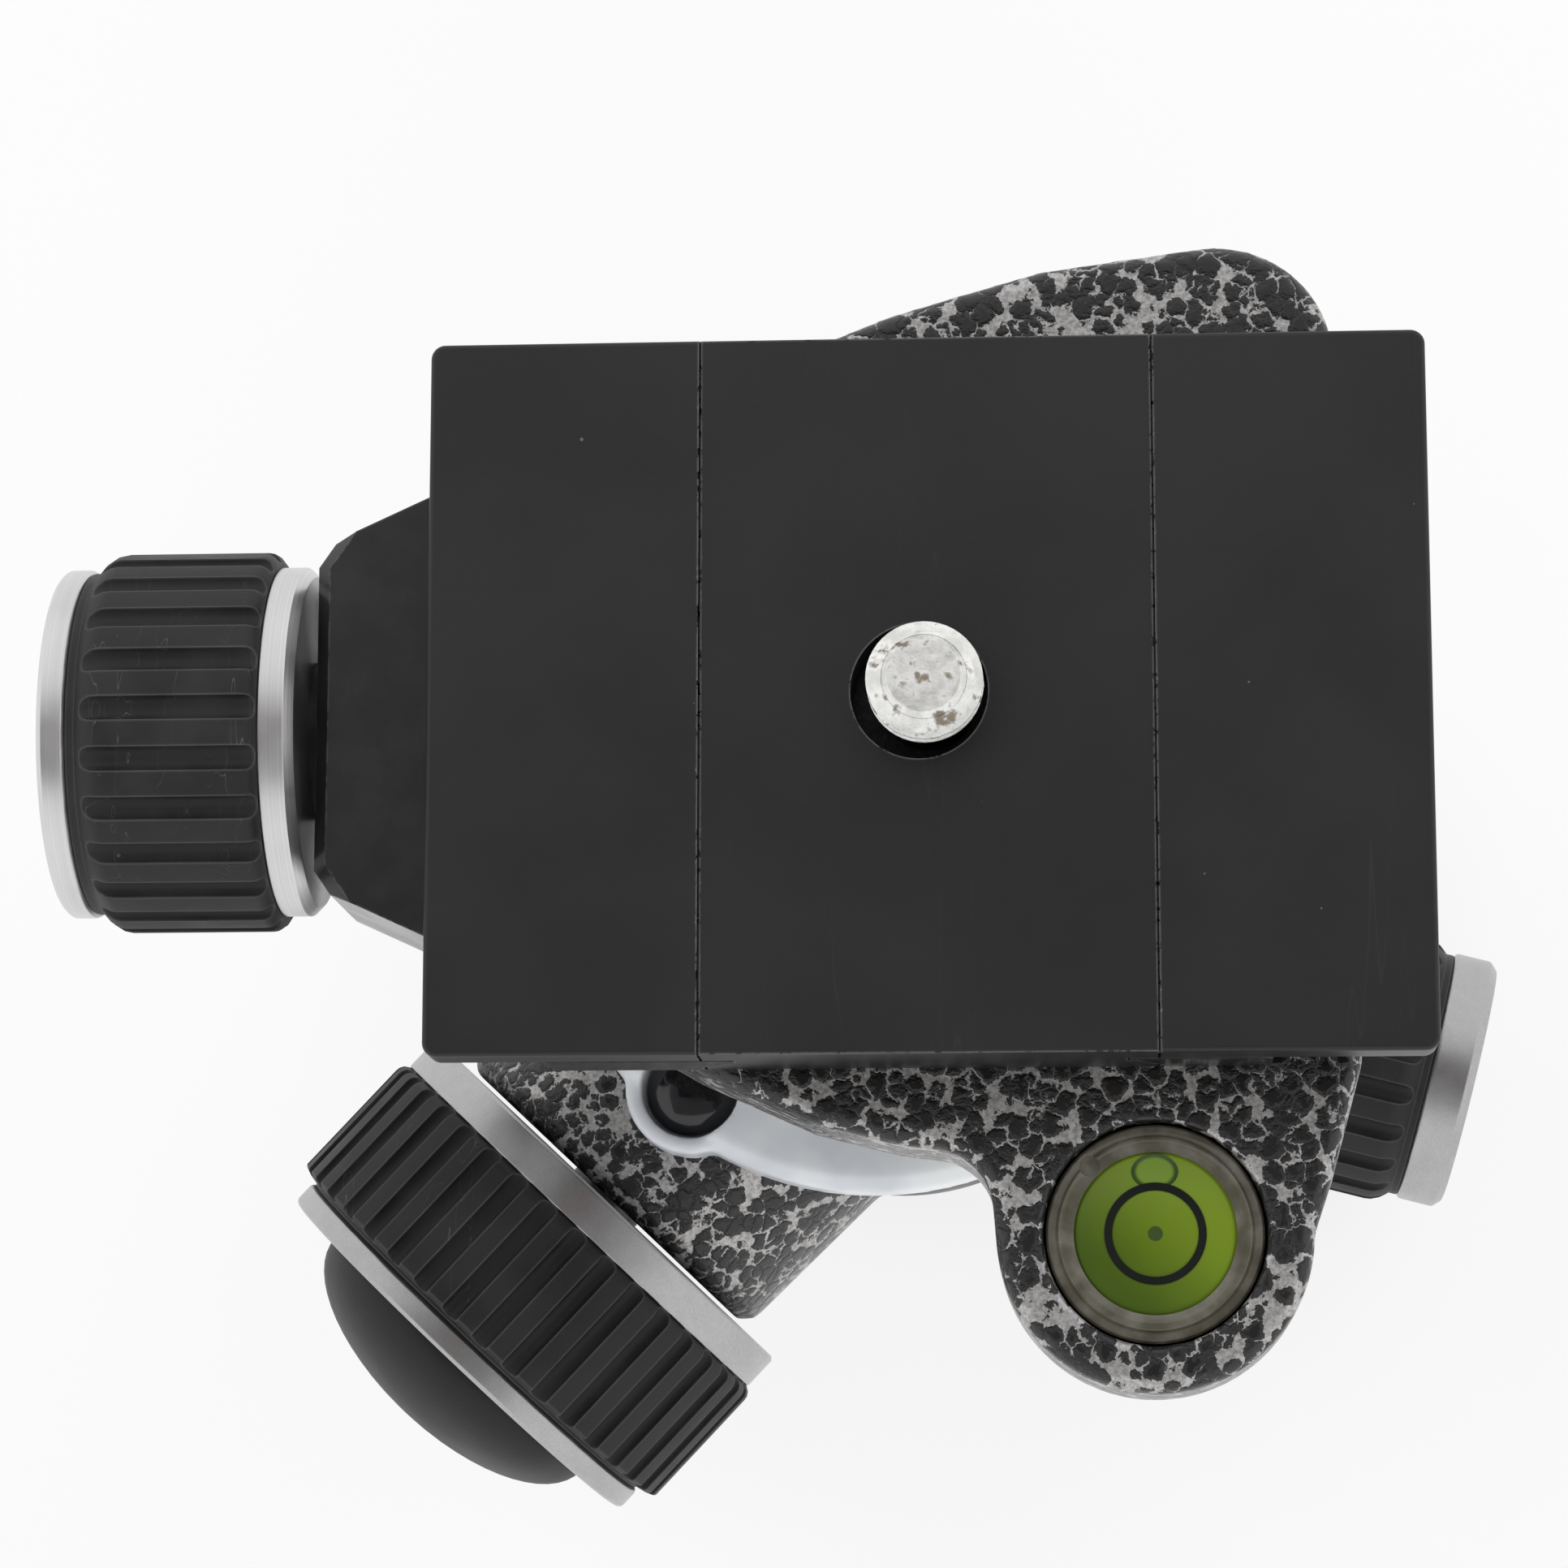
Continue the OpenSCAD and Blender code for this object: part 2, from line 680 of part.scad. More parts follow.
module pan_knob_core() {
    color("#202022") outwards(pan_az, pan_z) difference() {
        turned([[0, pan_knob_in], [pan_hub_r, pan_knob_in], [pan_hub_r, pan_grip_in],
                [pan_core_r, pan_grip_in], [pan_core_r, pan_grip_out], [0, pan_grip_out]]);
        ring(pan_screw_r, pan_knob_in - 1, pan_screw_end);
    }
}

module pan_knob_grip() {
    color("#1c1c1e") outwards(pan_az, pan_z)
        ribbed_grip(pan_grip_r, pan_grip_in, pan_grip_out, pan_core_r, pan_ribs, pan_ring_r - 0.3);
}

module pan_knob_outer_ring() {
    color("silver") outwards(pan_az, pan_z)
        chamfered_ring(pan_ring_r, pan_grip_out, pan_ring_out, pan_cap_r, 0.8);
}

module pan_knob_inner_ring() {
    color("silver") outwards(pan_az, pan_z)
        chamfered_ring(pan_ring_r, pan_knob_in, pan_grip_in, pan_hub_r, 0.4);
}

module pan_knob_cap() {
    color("#18181a") outwards(pan_az, pan_z)
        chamfered_ring(pan_cap_r, pan_grip_out, pan_ring_out - pan_cap_sink, 0, 0.3);
}

// ------------------------------------------------------------- ball and stem

module ball() {
    color("silver") difference() {
        translate([0, 0, ball_z]) sphere(r = ball_r, $fn = 96);
        ring(ball_r, flat_z, flat_z + ball_r);
        ring(5 + fit, flat_z - stem_root - 0.1, flat_z + 1);
    }
}

module stem() {
    top = casting_z;
    color("gray") difference() {
        turned([[0, flat_z - stem_root], [5, flat_z - stem_root], [5, flat_z], [ball_flat_r - 0.8, flat_z],
                [ball_flat_r - 0.8, flat_z + 1.6], [stem_r, flat_z + 4],
                [stem_r, top - stem_flange_h - 6], [stem_r + 1.4, top - stem_flange_h - 3],
                [stem_flange_r - 0.6, top - stem_flange_h], [stem_flange_r, top - stem_flange_h + 0.6],
                [stem_flange_r, top - slide_gap], [stem_spigot_r, top - slide_gap],
                [stem_spigot_r, top + stem_spigot_h], [0, top + stem_spigot_h]]);
        ring(stem_bolt_r, stem_bolt_low_z - 0.5, bed_z);
    }
}

module stem_washer() {
    color("silver") ring(stem_head_r + 1, stem_seat_z, stem_seat_z + stem_washer_t, stem_bolt_r + fit);
}

module stem_bolt() {
    head_z = stem_seat_z + stem_washer_t;
    color("dimgray") difference() {
        union() {
            ring(stem_bolt_r, stem_bolt_low_z, head_z + 1);
            turned([[0, head_z], [stem_head_r, head_z], [stem_head_r, head_z + stem_head_h - 0.5],
                    [stem_head_r - 0.5, head_z + stem_head_h], [0, head_z + stem_head_h]]);
        }
        translate([0, 0, head_z + 1.4]) cylinder(r = 3.46, h = 10, $fn = 6);
    }
}

// --------------------------------------------------------------------- clamp

// Plan of the clamp casting, drawn in by a distance
module casting_plan(inset) {
    offset(delta = -inset) polygon(concat(
        [[-casting_left, clamp_y - casting_half_w]],
        casting_south,
        arc(ear_fillet_at, ear_fillet_r, 90, 8, 7),
        arc(ear_at, ear_r, 186, 360, 24),
        casting_east,
        arc(bulge_at, bulge_r, 0, 98, 12),
        casting_north,
        [[-casting_left, clamp_y + casting_half_w]]));
}

module clamp_casting() {
    edge = casting_edge;
    steps = 3;
    color("gray") difference() {
        union() {
            translate([0, 0, casting_z + edge])
                linear_extrude(casting_h - 2 * edge) casting_plan(0);
            // Both edges are rounded in thin steps
            for (i = [0:steps - 1]) {
                step_in = edge * (1 - cos(90 * (i + 0.5) / steps));
                step_h = edge * (i + 1) / steps;
                translate([0, 0, casting_z + edge - step_h])
                    linear_extrude(casting_h - 2 * edge + 2 * step_h) casting_plan(step_in);
            }
        }
        translate([ear_at[0], ear_at[1], 0]) ring(ear_pocket_r, ear_floor_z, bed_z + 1);
        ring(stem_spigot_r + fit, casting_z - 1, casting_z + stem_spigot_h + 0.1);
        ring(stem_bolt_r + 0.3, casting_z, bed_z + 1);
        ring(stem_head_r + 1.4, stem_seat_z, bed_z + 1);
        clamp_screw_shape(0);
        guide_pin_shape(0);
        rail_screw_shape(0.02);
    }
}

module clamp_screw_shape(gap) {
    translate([0, clamp_y, clamp_screw_z]) rotate([0, -90, 0])
        ring(clamp_screw_r + gap, clamp_screw_root - gap, clamp_screw_end + gap);
}

module guide_pin_shape(gap) {
    for (side = [-1, 1])
        translate([0, clamp_y + side * guide_pin_gap / 2, pin_z]) rotate([0, -90, 0])
            ring(guide_pin_r + gap, pin_root - gap, pin_end + gap);
}

module rail_screw_shape(gap) {
    head_top_z = rail_top_z - rail_screw_sink;
    for (y = rail_screw_y)
        translate([rail_screw_x, y, 0]) {
            ring(rail_screw_r + gap, head_top_z - rail_screw_len, head_top_z - 1);
            ring(rail_head_r + gap, head_top_z - rail_head_h, head_top_z);
        }
}

module clamp_screw() {
    color("silver") clamp_screw_shape(0);
}

module guide_pins() {
    color("silver") guide_pin_shape(0);
}

// Plan of the moving jaw, drawn in by a distance
module jaw_plan(inset) {
    nick = 1.4;
    shoulder_w = jaw_face_len / 2 + jaw_shoulder * jaw_flare;
    shoulder_x = jaw_outer - jaw_shoulder;
    wide_x = shoulder_x - (plate_w / 2 - shoulder_w) / 1.2;
    translate([0, (south_y + north_y) / 2]) offset(delta = -inset) polygon([
        [-jaw_outer, -jaw_face_len / 2 + nick],
        [-jaw_outer + nick, -jaw_face_len / 2 - nick * jaw_flare],
        [-shoulder_x, -shoulder_w],
        [-wide_x, -plate_w / 2],
        [0, -plate_w / 2],
        [0, plate_w / 2],
        [-wide_x, plate_w / 2],
        [-shoulder_x, shoulder_w],
        [-jaw_outer + nick, jaw_face_len / 2 + nick * jaw_flare],
        [-jaw_outer, jaw_face_len / 2 - nick]]);
}

module moving_jaw() {
    block_low_z = casting_z - jaw_block_drop;
    block_top_z = bed_z + jaw_block_rise;
    edge = 1.1;
    y_mid = (south_y + north_y) / 2;
    color("#161618") difference() {
        union() {
            // Outer block, with its top edge chamfered
            intersection() {
                hull() {
                    translate([0, 0, block_low_z])
                        linear_extrude(block_top_z - block_low_z - edge) jaw_plan(0);
                    translate([0, 0, block_top_z - eps]) linear_extrude(eps) jaw_plan(edge);
                }
                translate([-jaw_outer - 1, y_mid - 40, 0]) cube([jaw_outer + 1 - jaw_inner, 80, 200]);
            }
            // Top bar, with the lip that holds the dovetail
            intersection() {
                translate([0, 0, bed_z]) linear_extrude(20) jaw_plan(0);
                translate([0, north_y + 5, 0]) rotate([90, 0, 0])
                    linear_extrude(plate_w + 10) polygon([
                        [-jaw_inner - 1, foot_z], [jaw_left_x - slide_gap, foot_z],
                        [jaw_left_x - slide_gap, foot_z + foot_edge_h],
                        [lip_left_x - slide_gap, foot_z + foot_edge_h + dovetail_rise],
                        [lip_left_x - slide_gap, rail_top_z], [-casting_left + 1.5, rail_top_z],
                        [-casting_left + 0.2, block_top_z - 0.6], [-jaw_inner - 1, block_top_z - 0.6]]);
            }
        }
        translate([0, clamp_y, clamp_screw_z]) rotate([0, -90, 0])
            ring(clamp_screw_r + 0.4, 30, jaw_outer + 1);
        for (side = [-1, 1])
            translate([0, clamp_y + side * guide_pin_gap / 2, pin_z]) rotate([0, -90, 0])
                ring(guide_pin_r + fit, 30, pin_end + 0.6);
    }
}

module fixed_rail() {
    rail_x = plate_at[0] + neck_w / 2 + slide_gap;
    bottom_x = plate_at[0] + foot_w / 2 + slide_gap;
    color("#161618") difference() {
        translate([0, north_y, 0]) rotate([90, 0, 0]) linear_extrude(plate_w) polygon([
            [bottom_x, bed_z], [bottom_x, foot_z + foot_edge_h],
            [rail_x, foot_z + foot_edge_h + dovetail_rise], [rail_x, rail_top_z],
            [rail_out_x - 1, rail_top_z], [rail_out_x, rail_top_z - 1], [rail_out_x, bed_z]]);
        rail_screw_shape(0.05);
        for (y = rail_screw_y)
            translate([rail_screw_x, y, 0])
                ring(rail_head_r + 0.05, rail_top_z - rail_screw_sink - 0.1, rail_top_z + 1);
    }
}

module rail_screws() {
    color("dimgray") difference() {
        rail_screw_shape(0);
        for (y = rail_screw_y)
            translate([rail_screw_x, y, rail_top_z - rail_screw_sink - 1.8]) cylinder(r = 1.7, h = 5, $fn = 6);
    }
}

// --------------------------------------------------------------------- level

module level_vial() {
    top_z = ear_floor_z + vial_h;
    color([0.75, 0.72, 0.66, 0.6]) translate([ear_at[0], ear_at[1], 0]) difference() {
        turned([[0, ear_floor_z], [vial_r, ear_floor_z], [vial_r, top_z - 0.9],
                [vial_r - 0.35, top_z - 0.5], [vial_r - 0.9, top_z - 0.4],
                [vial_r - 1.3, top_z], [0, top_z]]);
        ring(fluid_r, ear_floor_z + 1.2, top_z - 1.3);
    }
}

module level_fluid() {
    top_z = ear_floor_z + vial_h - 1.3;
    color("yellowgreen") translate([ear_at[0], ear_at[1], 0]) difference() {
        ring(fluid_r, ear_floor_z + 1.2, top_z);
        translate([0, fluid_r - bubble_r - 0.1, top_z - 0.9]) ring(bubble_r, 0, 2);
    }
}

module level_bubble() {
    top_z = ear_floor_z + vial_h - 1.3;
    color("honeydew") translate([ear_at[0], ear_at[1] + fluid_r - bubble_r - 0.1, top_z - 0.9])
        ring(bubble_r, 0, 0.9);
}

// ---------------------------------------------------------------- clamp knob

// Turns the children's Z axis outwards along the clamp's screw
module clamp_outwards() {
    translate([0, clamp_y, clamp_screw_z]) rotate([0, -90, 0]) children();
}

module clamp_knob_core() {
    color("#202022") clamp_outwards() difference() {
        turned([[0, jaw_outer + 0.05], [clamp_neck_r, jaw_outer + 0.05],
                [clamp_neck_r, clamp_grip_in], [clamp_core_r, clamp_grip_in],
                [clamp_core_r, clamp_grip_out], [0, clamp_grip_out]]);
        ring(clamp_screw_r + fit, jaw_outer - 1, clamp_screw_end + 1.5);
    }
}

module clamp_knob_grip() {
    color("#1c1c1e") clamp_outwards()
        ribbed_grip(clamp_grip_r, clamp_grip_in, clamp_grip_out, clamp_core_r, clamp_ribs,
                    clamp_ring_r - 0.3);
}

module clamp_knob_outer_ring() {
    color("silver") clamp_outwards()
        chamfered_ring(clamp_ring_r, clamp_grip_out, clamp_ring_out, clamp_cap_r, 0.4);
}

module clamp_knob_inner_ring() {
    color("silver") clamp_outwards()
        turned([[clamp_neck_r, clamp_knob_in], [clamp_ring_r - 0.8, clamp_knob_in],
                [clamp_ring_r, clamp_knob_in + 0.8], [clamp_ring_r, clamp_grip_in],
                [clamp_neck_r, clamp_grip_in]]);
}

module clamp_knob_cap() {
    color("#18181a") clamp_outwards()
        chamfered_ring(clamp_cap_r, clamp_grip_out, clamp_ring_out - clamp_cap_sink, 0, 0.3);
}

// --------------------------------------------------------------------- plate

// Plan of the plate, drawn in by a distance
module plate_plan(inset) {
    r = plate_corner_r - inset;
    translate(plate_at) hull()
        for (x = [-1, 1], y = [-1, 1])
            translate([x * (plate_l / 2 - plate_corner_r), y * (plate_w / 2 - plate_corner_r)])
                circle(r = r, $fn = 32);
}

module quick_release_plate() {
    edge = 0.5;
    color("#242426") difference() {
        union() {
            translate([0, 0, wing_z]) linear_extrude(wing_t - edge) plate_plan(0);
            translate([0, 0, wing_z]) linear_extrude(wing_t - edge * 0.4) plate_plan(edge * 0.2);
            translate([0, 0, wing_z]) linear_extrude(wing_t) plate_plan(edge * 0.8);
            translate([plate_at[0], north_y, 0]) rotate([90, 0, 0]) linear_extrude(plate_w)
                polygon([[-foot_w / 2, foot_z], [foot_w / 2, foot_z],
                         [foot_w / 2, foot_z + foot_edge_h],
                         [neck_w / 2, foot_z + foot_edge_h + dovetail_rise],
                         [neck_w / 2, wing_z + 1], [-neck_w / 2, wing_z + 1],
                         [-neck_w / 2, foot_z + foot_edge_h + dovetail_rise],
                         [-foot_w / 2, foot_z + foot_edge_h]]);
        }
        translate([plate_at[0] - zone_w / 2, south_y - 1, plate_top_z - zone_depth])
            cube([zone_w, plate_w + 2, 1]);
        translate([plate_at[0], plate_at[1], 0]) {
            ring(plate_hole_r, foot_z, plate_top_z + 1);
            ring(counterbore_r, foot_z - 1, head_top_z + 0.1);
            ring(clip_r + 0.1, clip_z - 0.05, clip_z + clip_t + 0.05);
        }
    }
}

module plate_clip() {
    gap_w = 5;
    color("dimgray") translate([plate_at[0], plate_at[1], 0]) difference() {
        ring(clip_r, clip_z, clip_z + clip_t, screw_head_r - 1);
        translate([0, -gap_w / 2, 0]) cube([30, gap_w, bed_z * 2]);
    }
}

module camera_screw() {
    color("silver") translate([plate_at[0], plate_at[1], 0]) difference() {
        turned([[0, head_low_z], [screw_head_r - 0.4, head_low_z], [screw_head_r, head_low_z + 0.4],
                [screw_head_r, head_top_z - 0.4], [screw_head_r - 0.4, head_top_z],
                [stud_neck_r, head_top_z], [stud_neck_r, plate_top_z],
                [socket_r, plate_top_z], [socket_r, stud_top_z - 1.1],
                [socket_r - 1.2, stud_top_z - 0.7], [socket_r - 1.8, stud_top_z], [0, stud_top_z]]);
        translate([-screw_head_r - 1, -0.9, head_low_z - 1]) cube([2 * screw_head_r + 2, 1.8, 2.2]);
    }
}

base_disc();
tripod_bush();
spindle();
spindle_screws();
spindle_nut();
sliding_washer();
housing();
collar();
collar_lobe_screw();
collar_screws();
upper_seat();
lower_seat();
main_bush();
pan_bush();
ball_shoe();
main_lock_screw();
main_knob_core();
main_knob_grip();
main_knob_outer_ring();
main_knob_inner_ring();
main_knob_dome();
pan_shoe();
pan_lock_screw();
pan_knob_core();
pan_knob_grip();
pan_knob_outer_ring();
pan_knob_inner_ring();
pan_knob_cap();
ball();
stem();
stem_bolt();
stem_washer();
clamp_casting();
fixed_rail();
rail_screws();
clamp_screw();
guide_pins();
level_vial();
level_fluid();
level_bubble();
moving_jaw();
clamp_knob_core();
clamp_knob_grip();
clamp_knob_outer_ring();
clamp_knob_inner_ring();
clamp_knob_cap();
quick_release_plate();
plate_clip();
camera_screw();
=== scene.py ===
"""The looks of a tripod ball head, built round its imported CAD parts, in metres."""
import json
import math

import bpy
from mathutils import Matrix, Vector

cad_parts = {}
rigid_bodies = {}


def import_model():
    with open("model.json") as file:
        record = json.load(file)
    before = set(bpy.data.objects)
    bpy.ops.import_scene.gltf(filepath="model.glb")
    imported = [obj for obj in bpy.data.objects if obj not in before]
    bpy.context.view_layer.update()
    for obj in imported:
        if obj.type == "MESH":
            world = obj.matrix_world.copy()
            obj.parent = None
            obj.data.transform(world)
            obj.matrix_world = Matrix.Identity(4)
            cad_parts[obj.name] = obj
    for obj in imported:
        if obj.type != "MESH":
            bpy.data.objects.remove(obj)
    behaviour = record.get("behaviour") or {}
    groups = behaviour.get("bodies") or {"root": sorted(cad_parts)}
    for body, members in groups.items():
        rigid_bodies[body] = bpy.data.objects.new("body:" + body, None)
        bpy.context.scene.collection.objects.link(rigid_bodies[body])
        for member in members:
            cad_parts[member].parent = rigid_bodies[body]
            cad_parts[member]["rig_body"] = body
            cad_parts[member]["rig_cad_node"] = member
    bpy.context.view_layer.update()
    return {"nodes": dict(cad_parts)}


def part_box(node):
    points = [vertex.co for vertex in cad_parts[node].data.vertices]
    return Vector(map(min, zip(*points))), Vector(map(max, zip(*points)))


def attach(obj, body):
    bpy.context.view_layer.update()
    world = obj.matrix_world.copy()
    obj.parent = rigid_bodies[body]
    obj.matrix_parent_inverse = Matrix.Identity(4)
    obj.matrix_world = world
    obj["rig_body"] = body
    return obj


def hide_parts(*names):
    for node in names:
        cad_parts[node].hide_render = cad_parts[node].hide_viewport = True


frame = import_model()

# ------------------------------------------------------------------ tripod base
# A turned aluminium disc, black anodised, with a steel bush for the tripod's screw pressed into it.
# The panning spindle is screwed to it from below, and a bronze nut above holds the housing down
# onto a nylon sliding washer.

mm = 0.001


def node(tree, kind, settings=None, **inputs):
    """A shader node. Inputs are named with _ for a space, and take a value or another socket."""
    made = tree.nodes.new("ShaderNode" + kind)
    for name, value in (settings or {}).items():
        setattr(made, name, value)
    for name, value in inputs.items():
        at = int(name[2:]) if name.startswith("in") and name[2:].isdigit() else name.replace("_", " ")
        socket = made.inputs[at]
        if isinstance(value, bpy.types.NodeSocket):
            tree.links.new(value, socket)
        else:
            socket.default_value = value
    return made


def finish(name, colour, metallic, roughness, **sockets):
    """A material whose plain values sit on the shader's own sockets."""
    material = bpy.data.materials.new(name)
    material.use_nodes = True
    shader = material.node_tree.nodes["Principled BSDF"]
    shader.inputs["Base Color"].default_value = (*colour, 1)
    shader.inputs["Metallic"].default_value = metallic
    shader.inputs["Roughness"].default_value = roughness
    for socket, value in sockets.items():
        shader.inputs[socket.replace("_", " ")].default_value = value
    return material


def feed(material, **sockets):
    """Links sockets of the material's shader to what drives them."""
    shader = material.node_tree.nodes["Principled BSDF"]
    for name, source in sockets.items():
        material.node_tree.links.new(source, shader.inputs[name.replace("_", " ")])


def span(tree, value, low, high, to_low=0.0, to_high=1.0):
    """A value mapped from one range to another, smoothly and clamped."""
    return node(tree, "MapRange", {"interpolation_type": "SMOOTHSTEP"}, Value=value, From_Min=low,
                From_Max=high, To_Min=to_low, To_Max=to_high).outputs["Result"]


def blend(tree, factor, below, above, how="MIX"):
    """Two colours mixed by a factor."""
    mix = node(tree, "Mix", {"data_type": "RGBA", "blend_type": how})
    for socket, value in ((mix.inputs[0], factor), (mix.inputs[6], below), (mix.inputs[7], above)):
        if isinstance(value, bpy.types.NodeSocket):
            tree.links.new(value, socket)
        else:
            socket.default_value = (*value, 1) if isinstance(value, tuple) else value
    return mix.outputs[2]


def calc(tree, how, first, second=0.0, third=0.0):
    """The result of a math node on up to three values."""
    return node(tree, "Math", {"operation": how}, in0=first, in1=second, in2=third).outputs[0]


def bump(tree, height, depth):
    """A bump of a depth in metres."""
    return node(tree, "Bump", None, Height=height, Distance=depth, Strength=1.0).outputs["Normal"]


def noise(tree, place, scale, detail, rough=0.5):
    """Smooth noise from 0 to 1, with its lumps 1 / scale metres apart."""
    return node(tree, "TexNoise", None, Vector=place, Scale=scale, Detail=detail,
                Roughness=rough).outputs["Fac"]


def group_start(name, inputs, outputs):
    """A shader node group with named float inputs, and its two ends."""
    tree = bpy.data.node_groups.new(name, "ShaderNodeTree")
    for title, value in inputs.items():
        socket = tree.interface.new_socket(title, in_out="INPUT", socket_type="NodeSocketFloat")
        socket.default_value = value
    for title in outputs:
        tree.interface.new_socket(title, in_out="OUTPUT", socket_type="NodeSocketFloat")
    return tree, tree.nodes.new("NodeGroupInput").outputs, tree.nodes.new("NodeGroupOutput").inputs


def placed(tree, group, **values):
    """A node group placed in a material with its own values."""
    made = tree.nodes.new("ShaderNodeGroup")
    made.node_tree = group
    for name, value in values.items():
        made.inputs[name.replace("_", " ")].default_value = value
    return made.outputs


def handling_marks():
    """Fine scratches in three directions, and specks of dust."""
    tree, given, out = group_start("handling marks", {"Scratch scale": 260.0, "Scratches": 0.5,
                                                      "Dust": 0.5}, ("Scratch mask", "Dust mask"))
    place = node(tree, "TexCoord").outputs["Object"]
    total = None
    for turn, seed in ((0.5, 0.0), (1.9, 0.031), (2.7, 0.067)):
        turned = node(tree, "Mapping", None, Vector=place, Rotation=(turn * 0.3, turn * 0.2, turn),
                      Scale=(1.0, 0.035, 1.0), Location=(seed, seed, seed)).outputs[0]
        lines = noise(tree, turned, given["Scratch scale"], 2.0)
        thin = calc(tree, "ABSOLUTE", calc(tree, "SUBTRACT", lines, 0.5))
        thin = span(tree, thin, 0.0, 0.0022, 1.0, 0.0)
        patches = noise(tree, turned, 46.0, 2.0)
        thin = calc(tree, "MULTIPLY", thin, span(tree, patches, 0.56, 0.7))
        total = thin if total is None else calc(tree, "MAXIMUM", total, thin)
    tree.links.new(calc(tree, "MULTIPLY", total, given["Scratches"]), out["Scratch mask"])
    specks = node(tree, "TexVoronoi", {"feature": "F1"}, Vector=place, Scale=330.0)
    size = calc(tree, "MULTIPLY", specks.outputs["Color"], 0.14)
    near = calc(tree, "LESS_THAN", specks.outputs["Distance"], calc(tree, "SUBTRACT", size, 0.075))
    tree.links.new(calc(tree, "MULTIPLY", near, given["Dust"]), out["Dust mask"])
    return tree


def lathe_marks():
    """Fine rings left by turning, round the Z axis of the given vector."""
    tree = bpy.data.node_groups.new("lathe marks", "ShaderNodeTree")
    tree.interface.new_socket("Vector", in_out="INPUT", socket_type="NodeSocketVector")
    tree.interface.new_socket("Rings", in_out="OUTPUT", socket_type="NodeSocketFloat")
    given, out = tree.nodes.new("NodeGroupInput").outputs, tree.nodes.new("NodeGroupOutput").inputs
    apart = node(tree, "SeparateXYZ", None, Vector=given["Vector"]).outputs
    across = calc(tree, "SQRT", calc(tree, "ADD", calc(tree, "POWER", apart[0], 2.0),
                                               calc(tree, "POWER", apart[1], 2.0)))
    along = node(tree, "CombineXYZ", None, X=across, Z=apart[2]).outputs[0]
    fine = noise(tree, along, 5200.0, 3.0)
    broad = noise(tree, along, 900.0, 1.0)
    tree.links.new(calc(tree, "MULTIPLY_ADD", fine, 0.7, calc(tree, "MULTIPLY", broad, 0.3)),
                   out["Rings"])
    return tree


def edge_chips_and_highlight():
    """Where an edge stands out, broken up by noise so that it looks chipped. Its Edge output is the plain
    edge, which the materials use as a mask for painted highlights.
    """
    tree, given, out = group_start("edge wear", {"Radius": 0.0004, "Chip scale": 900.0, "Wear": 0.5},
                                   ("Mask", "Edge"))
    rounded = node(tree, "Bevel", {"samples": 6}, Radius=given["Radius"]).outputs[0]
    true_normal = node(tree, "NewGeometry").outputs["Normal"]
    agree = node(tree, "VectorMath", {"operation": "DOT_PRODUCT"}, in0=rounded, in1=true_normal)
    edge = span(tree, agree.outputs["Value"], 0.997, 0.93)
    place = node(tree, "TexCoord").outputs["Object"]
    chips = noise(tree, place, given["Chip scale"], 5.0, 0.65)
    level = calc(tree, "MULTIPLY_ADD", given["Wear"], -0.35, 0.72)
    chipped = calc(tree, "GREATER_THAN", calc(tree, "MULTIPLY_ADD", edge, 0.16, chips), level)
    tree.links.new(calc(tree, "MULTIPLY", chipped, edge), out["Mask"])
    tree.links.new(edge, out["Edge"])
    return tree


marks_group, lathe_group, chips_and_highlight_group = handling_marks(), lathe_marks(), edge_chips_and_highlight()


def turned_metal(name, colour, roughness, turn=(0, 0, 0), centre=(0, 0, 0), metallic=1.0, ringed=0.00001,
                 **sockets):
    """Metal off the lathe. Its rings run round the Z axis of a mapping that is turned and centred."""
    material = finish(name, colour, metallic, roughness, **sockets)
    tree = material.node_tree
    place = node(tree, "TexCoord").outputs["Object"]
    centred = node(tree, "VectorMath", {"operation": "SUBTRACT"}, in0=place, in1=centre).outputs[0]
    turned = node(tree, "Mapping", None, Vector=centred, Rotation=turn).outputs[0]
    rings = tree.nodes.new("ShaderNodeGroup")
    rings.node_tree = lathe_group
    tree.links.new(turned, rings.inputs["Vector"])
    cloud = noise(tree, place, 130.0, 4.0)
    marks = placed(tree, marks_group, Scratch_scale=300.0, Scratches=0.6, Dust=0.25)
    shade = calc(tree, "MULTIPLY_ADD", rings.outputs[0], 0.3, calc(tree, "MULTIPLY", cloud, 0.2))
    dull = tuple(c * 0.72 for c in colour)
    base = blend(tree, span(tree, shade, 0.12, 0.4), dull, colour)
    base = blend(tree, marks["Dust mask"], base, tuple(min(1.0, c * 0.4 + 0.25) for c in colour))
    rough = calc(tree, "ADD", span(tree, cloud, 0.35, 0.7, roughness * 0.85, roughness * 1.2),
                      calc(tree, "MULTIPLY", marks["Scratch mask"], 0.15))
    feed(material, Base_Color=base, Roughness=rough, Normal=bump(tree, rings.outputs[0], ringed))
    return material


def dress(material, *nodes):
    """Gives CAD nodes a material of their own in place of the imported one."""
    for name in nodes:
        data = frame["nodes"][name].data
        data.materials.clear()
        data.materials.append(material)


dress(turned_metal("black anodised base", (0.022, 0.022, 0.024), 0.34, metallic=0.35), "base_disc")
zinc_plate = turned_metal("zinc plate", (0.62, 0.61, 0.58), 0.3)
dress(zinc_plate, "tripod_bush", "spindle_screws", "stem_washer", "guide_pins", "clamp_screw",
      "main_lock_screw", "pan_lock_screw")
satin_alloy = turned_metal("satin anodised alloy", (0.42, 0.43, 0.45), 0.36)
dress(satin_alloy, "spindle")
bronze = turned_metal("turned bronze", (0.5, 0.33, 0.14), 0.3)
dress(bronze, "spindle_nut", "main_bush", "pan_bush", "pan_shoe")


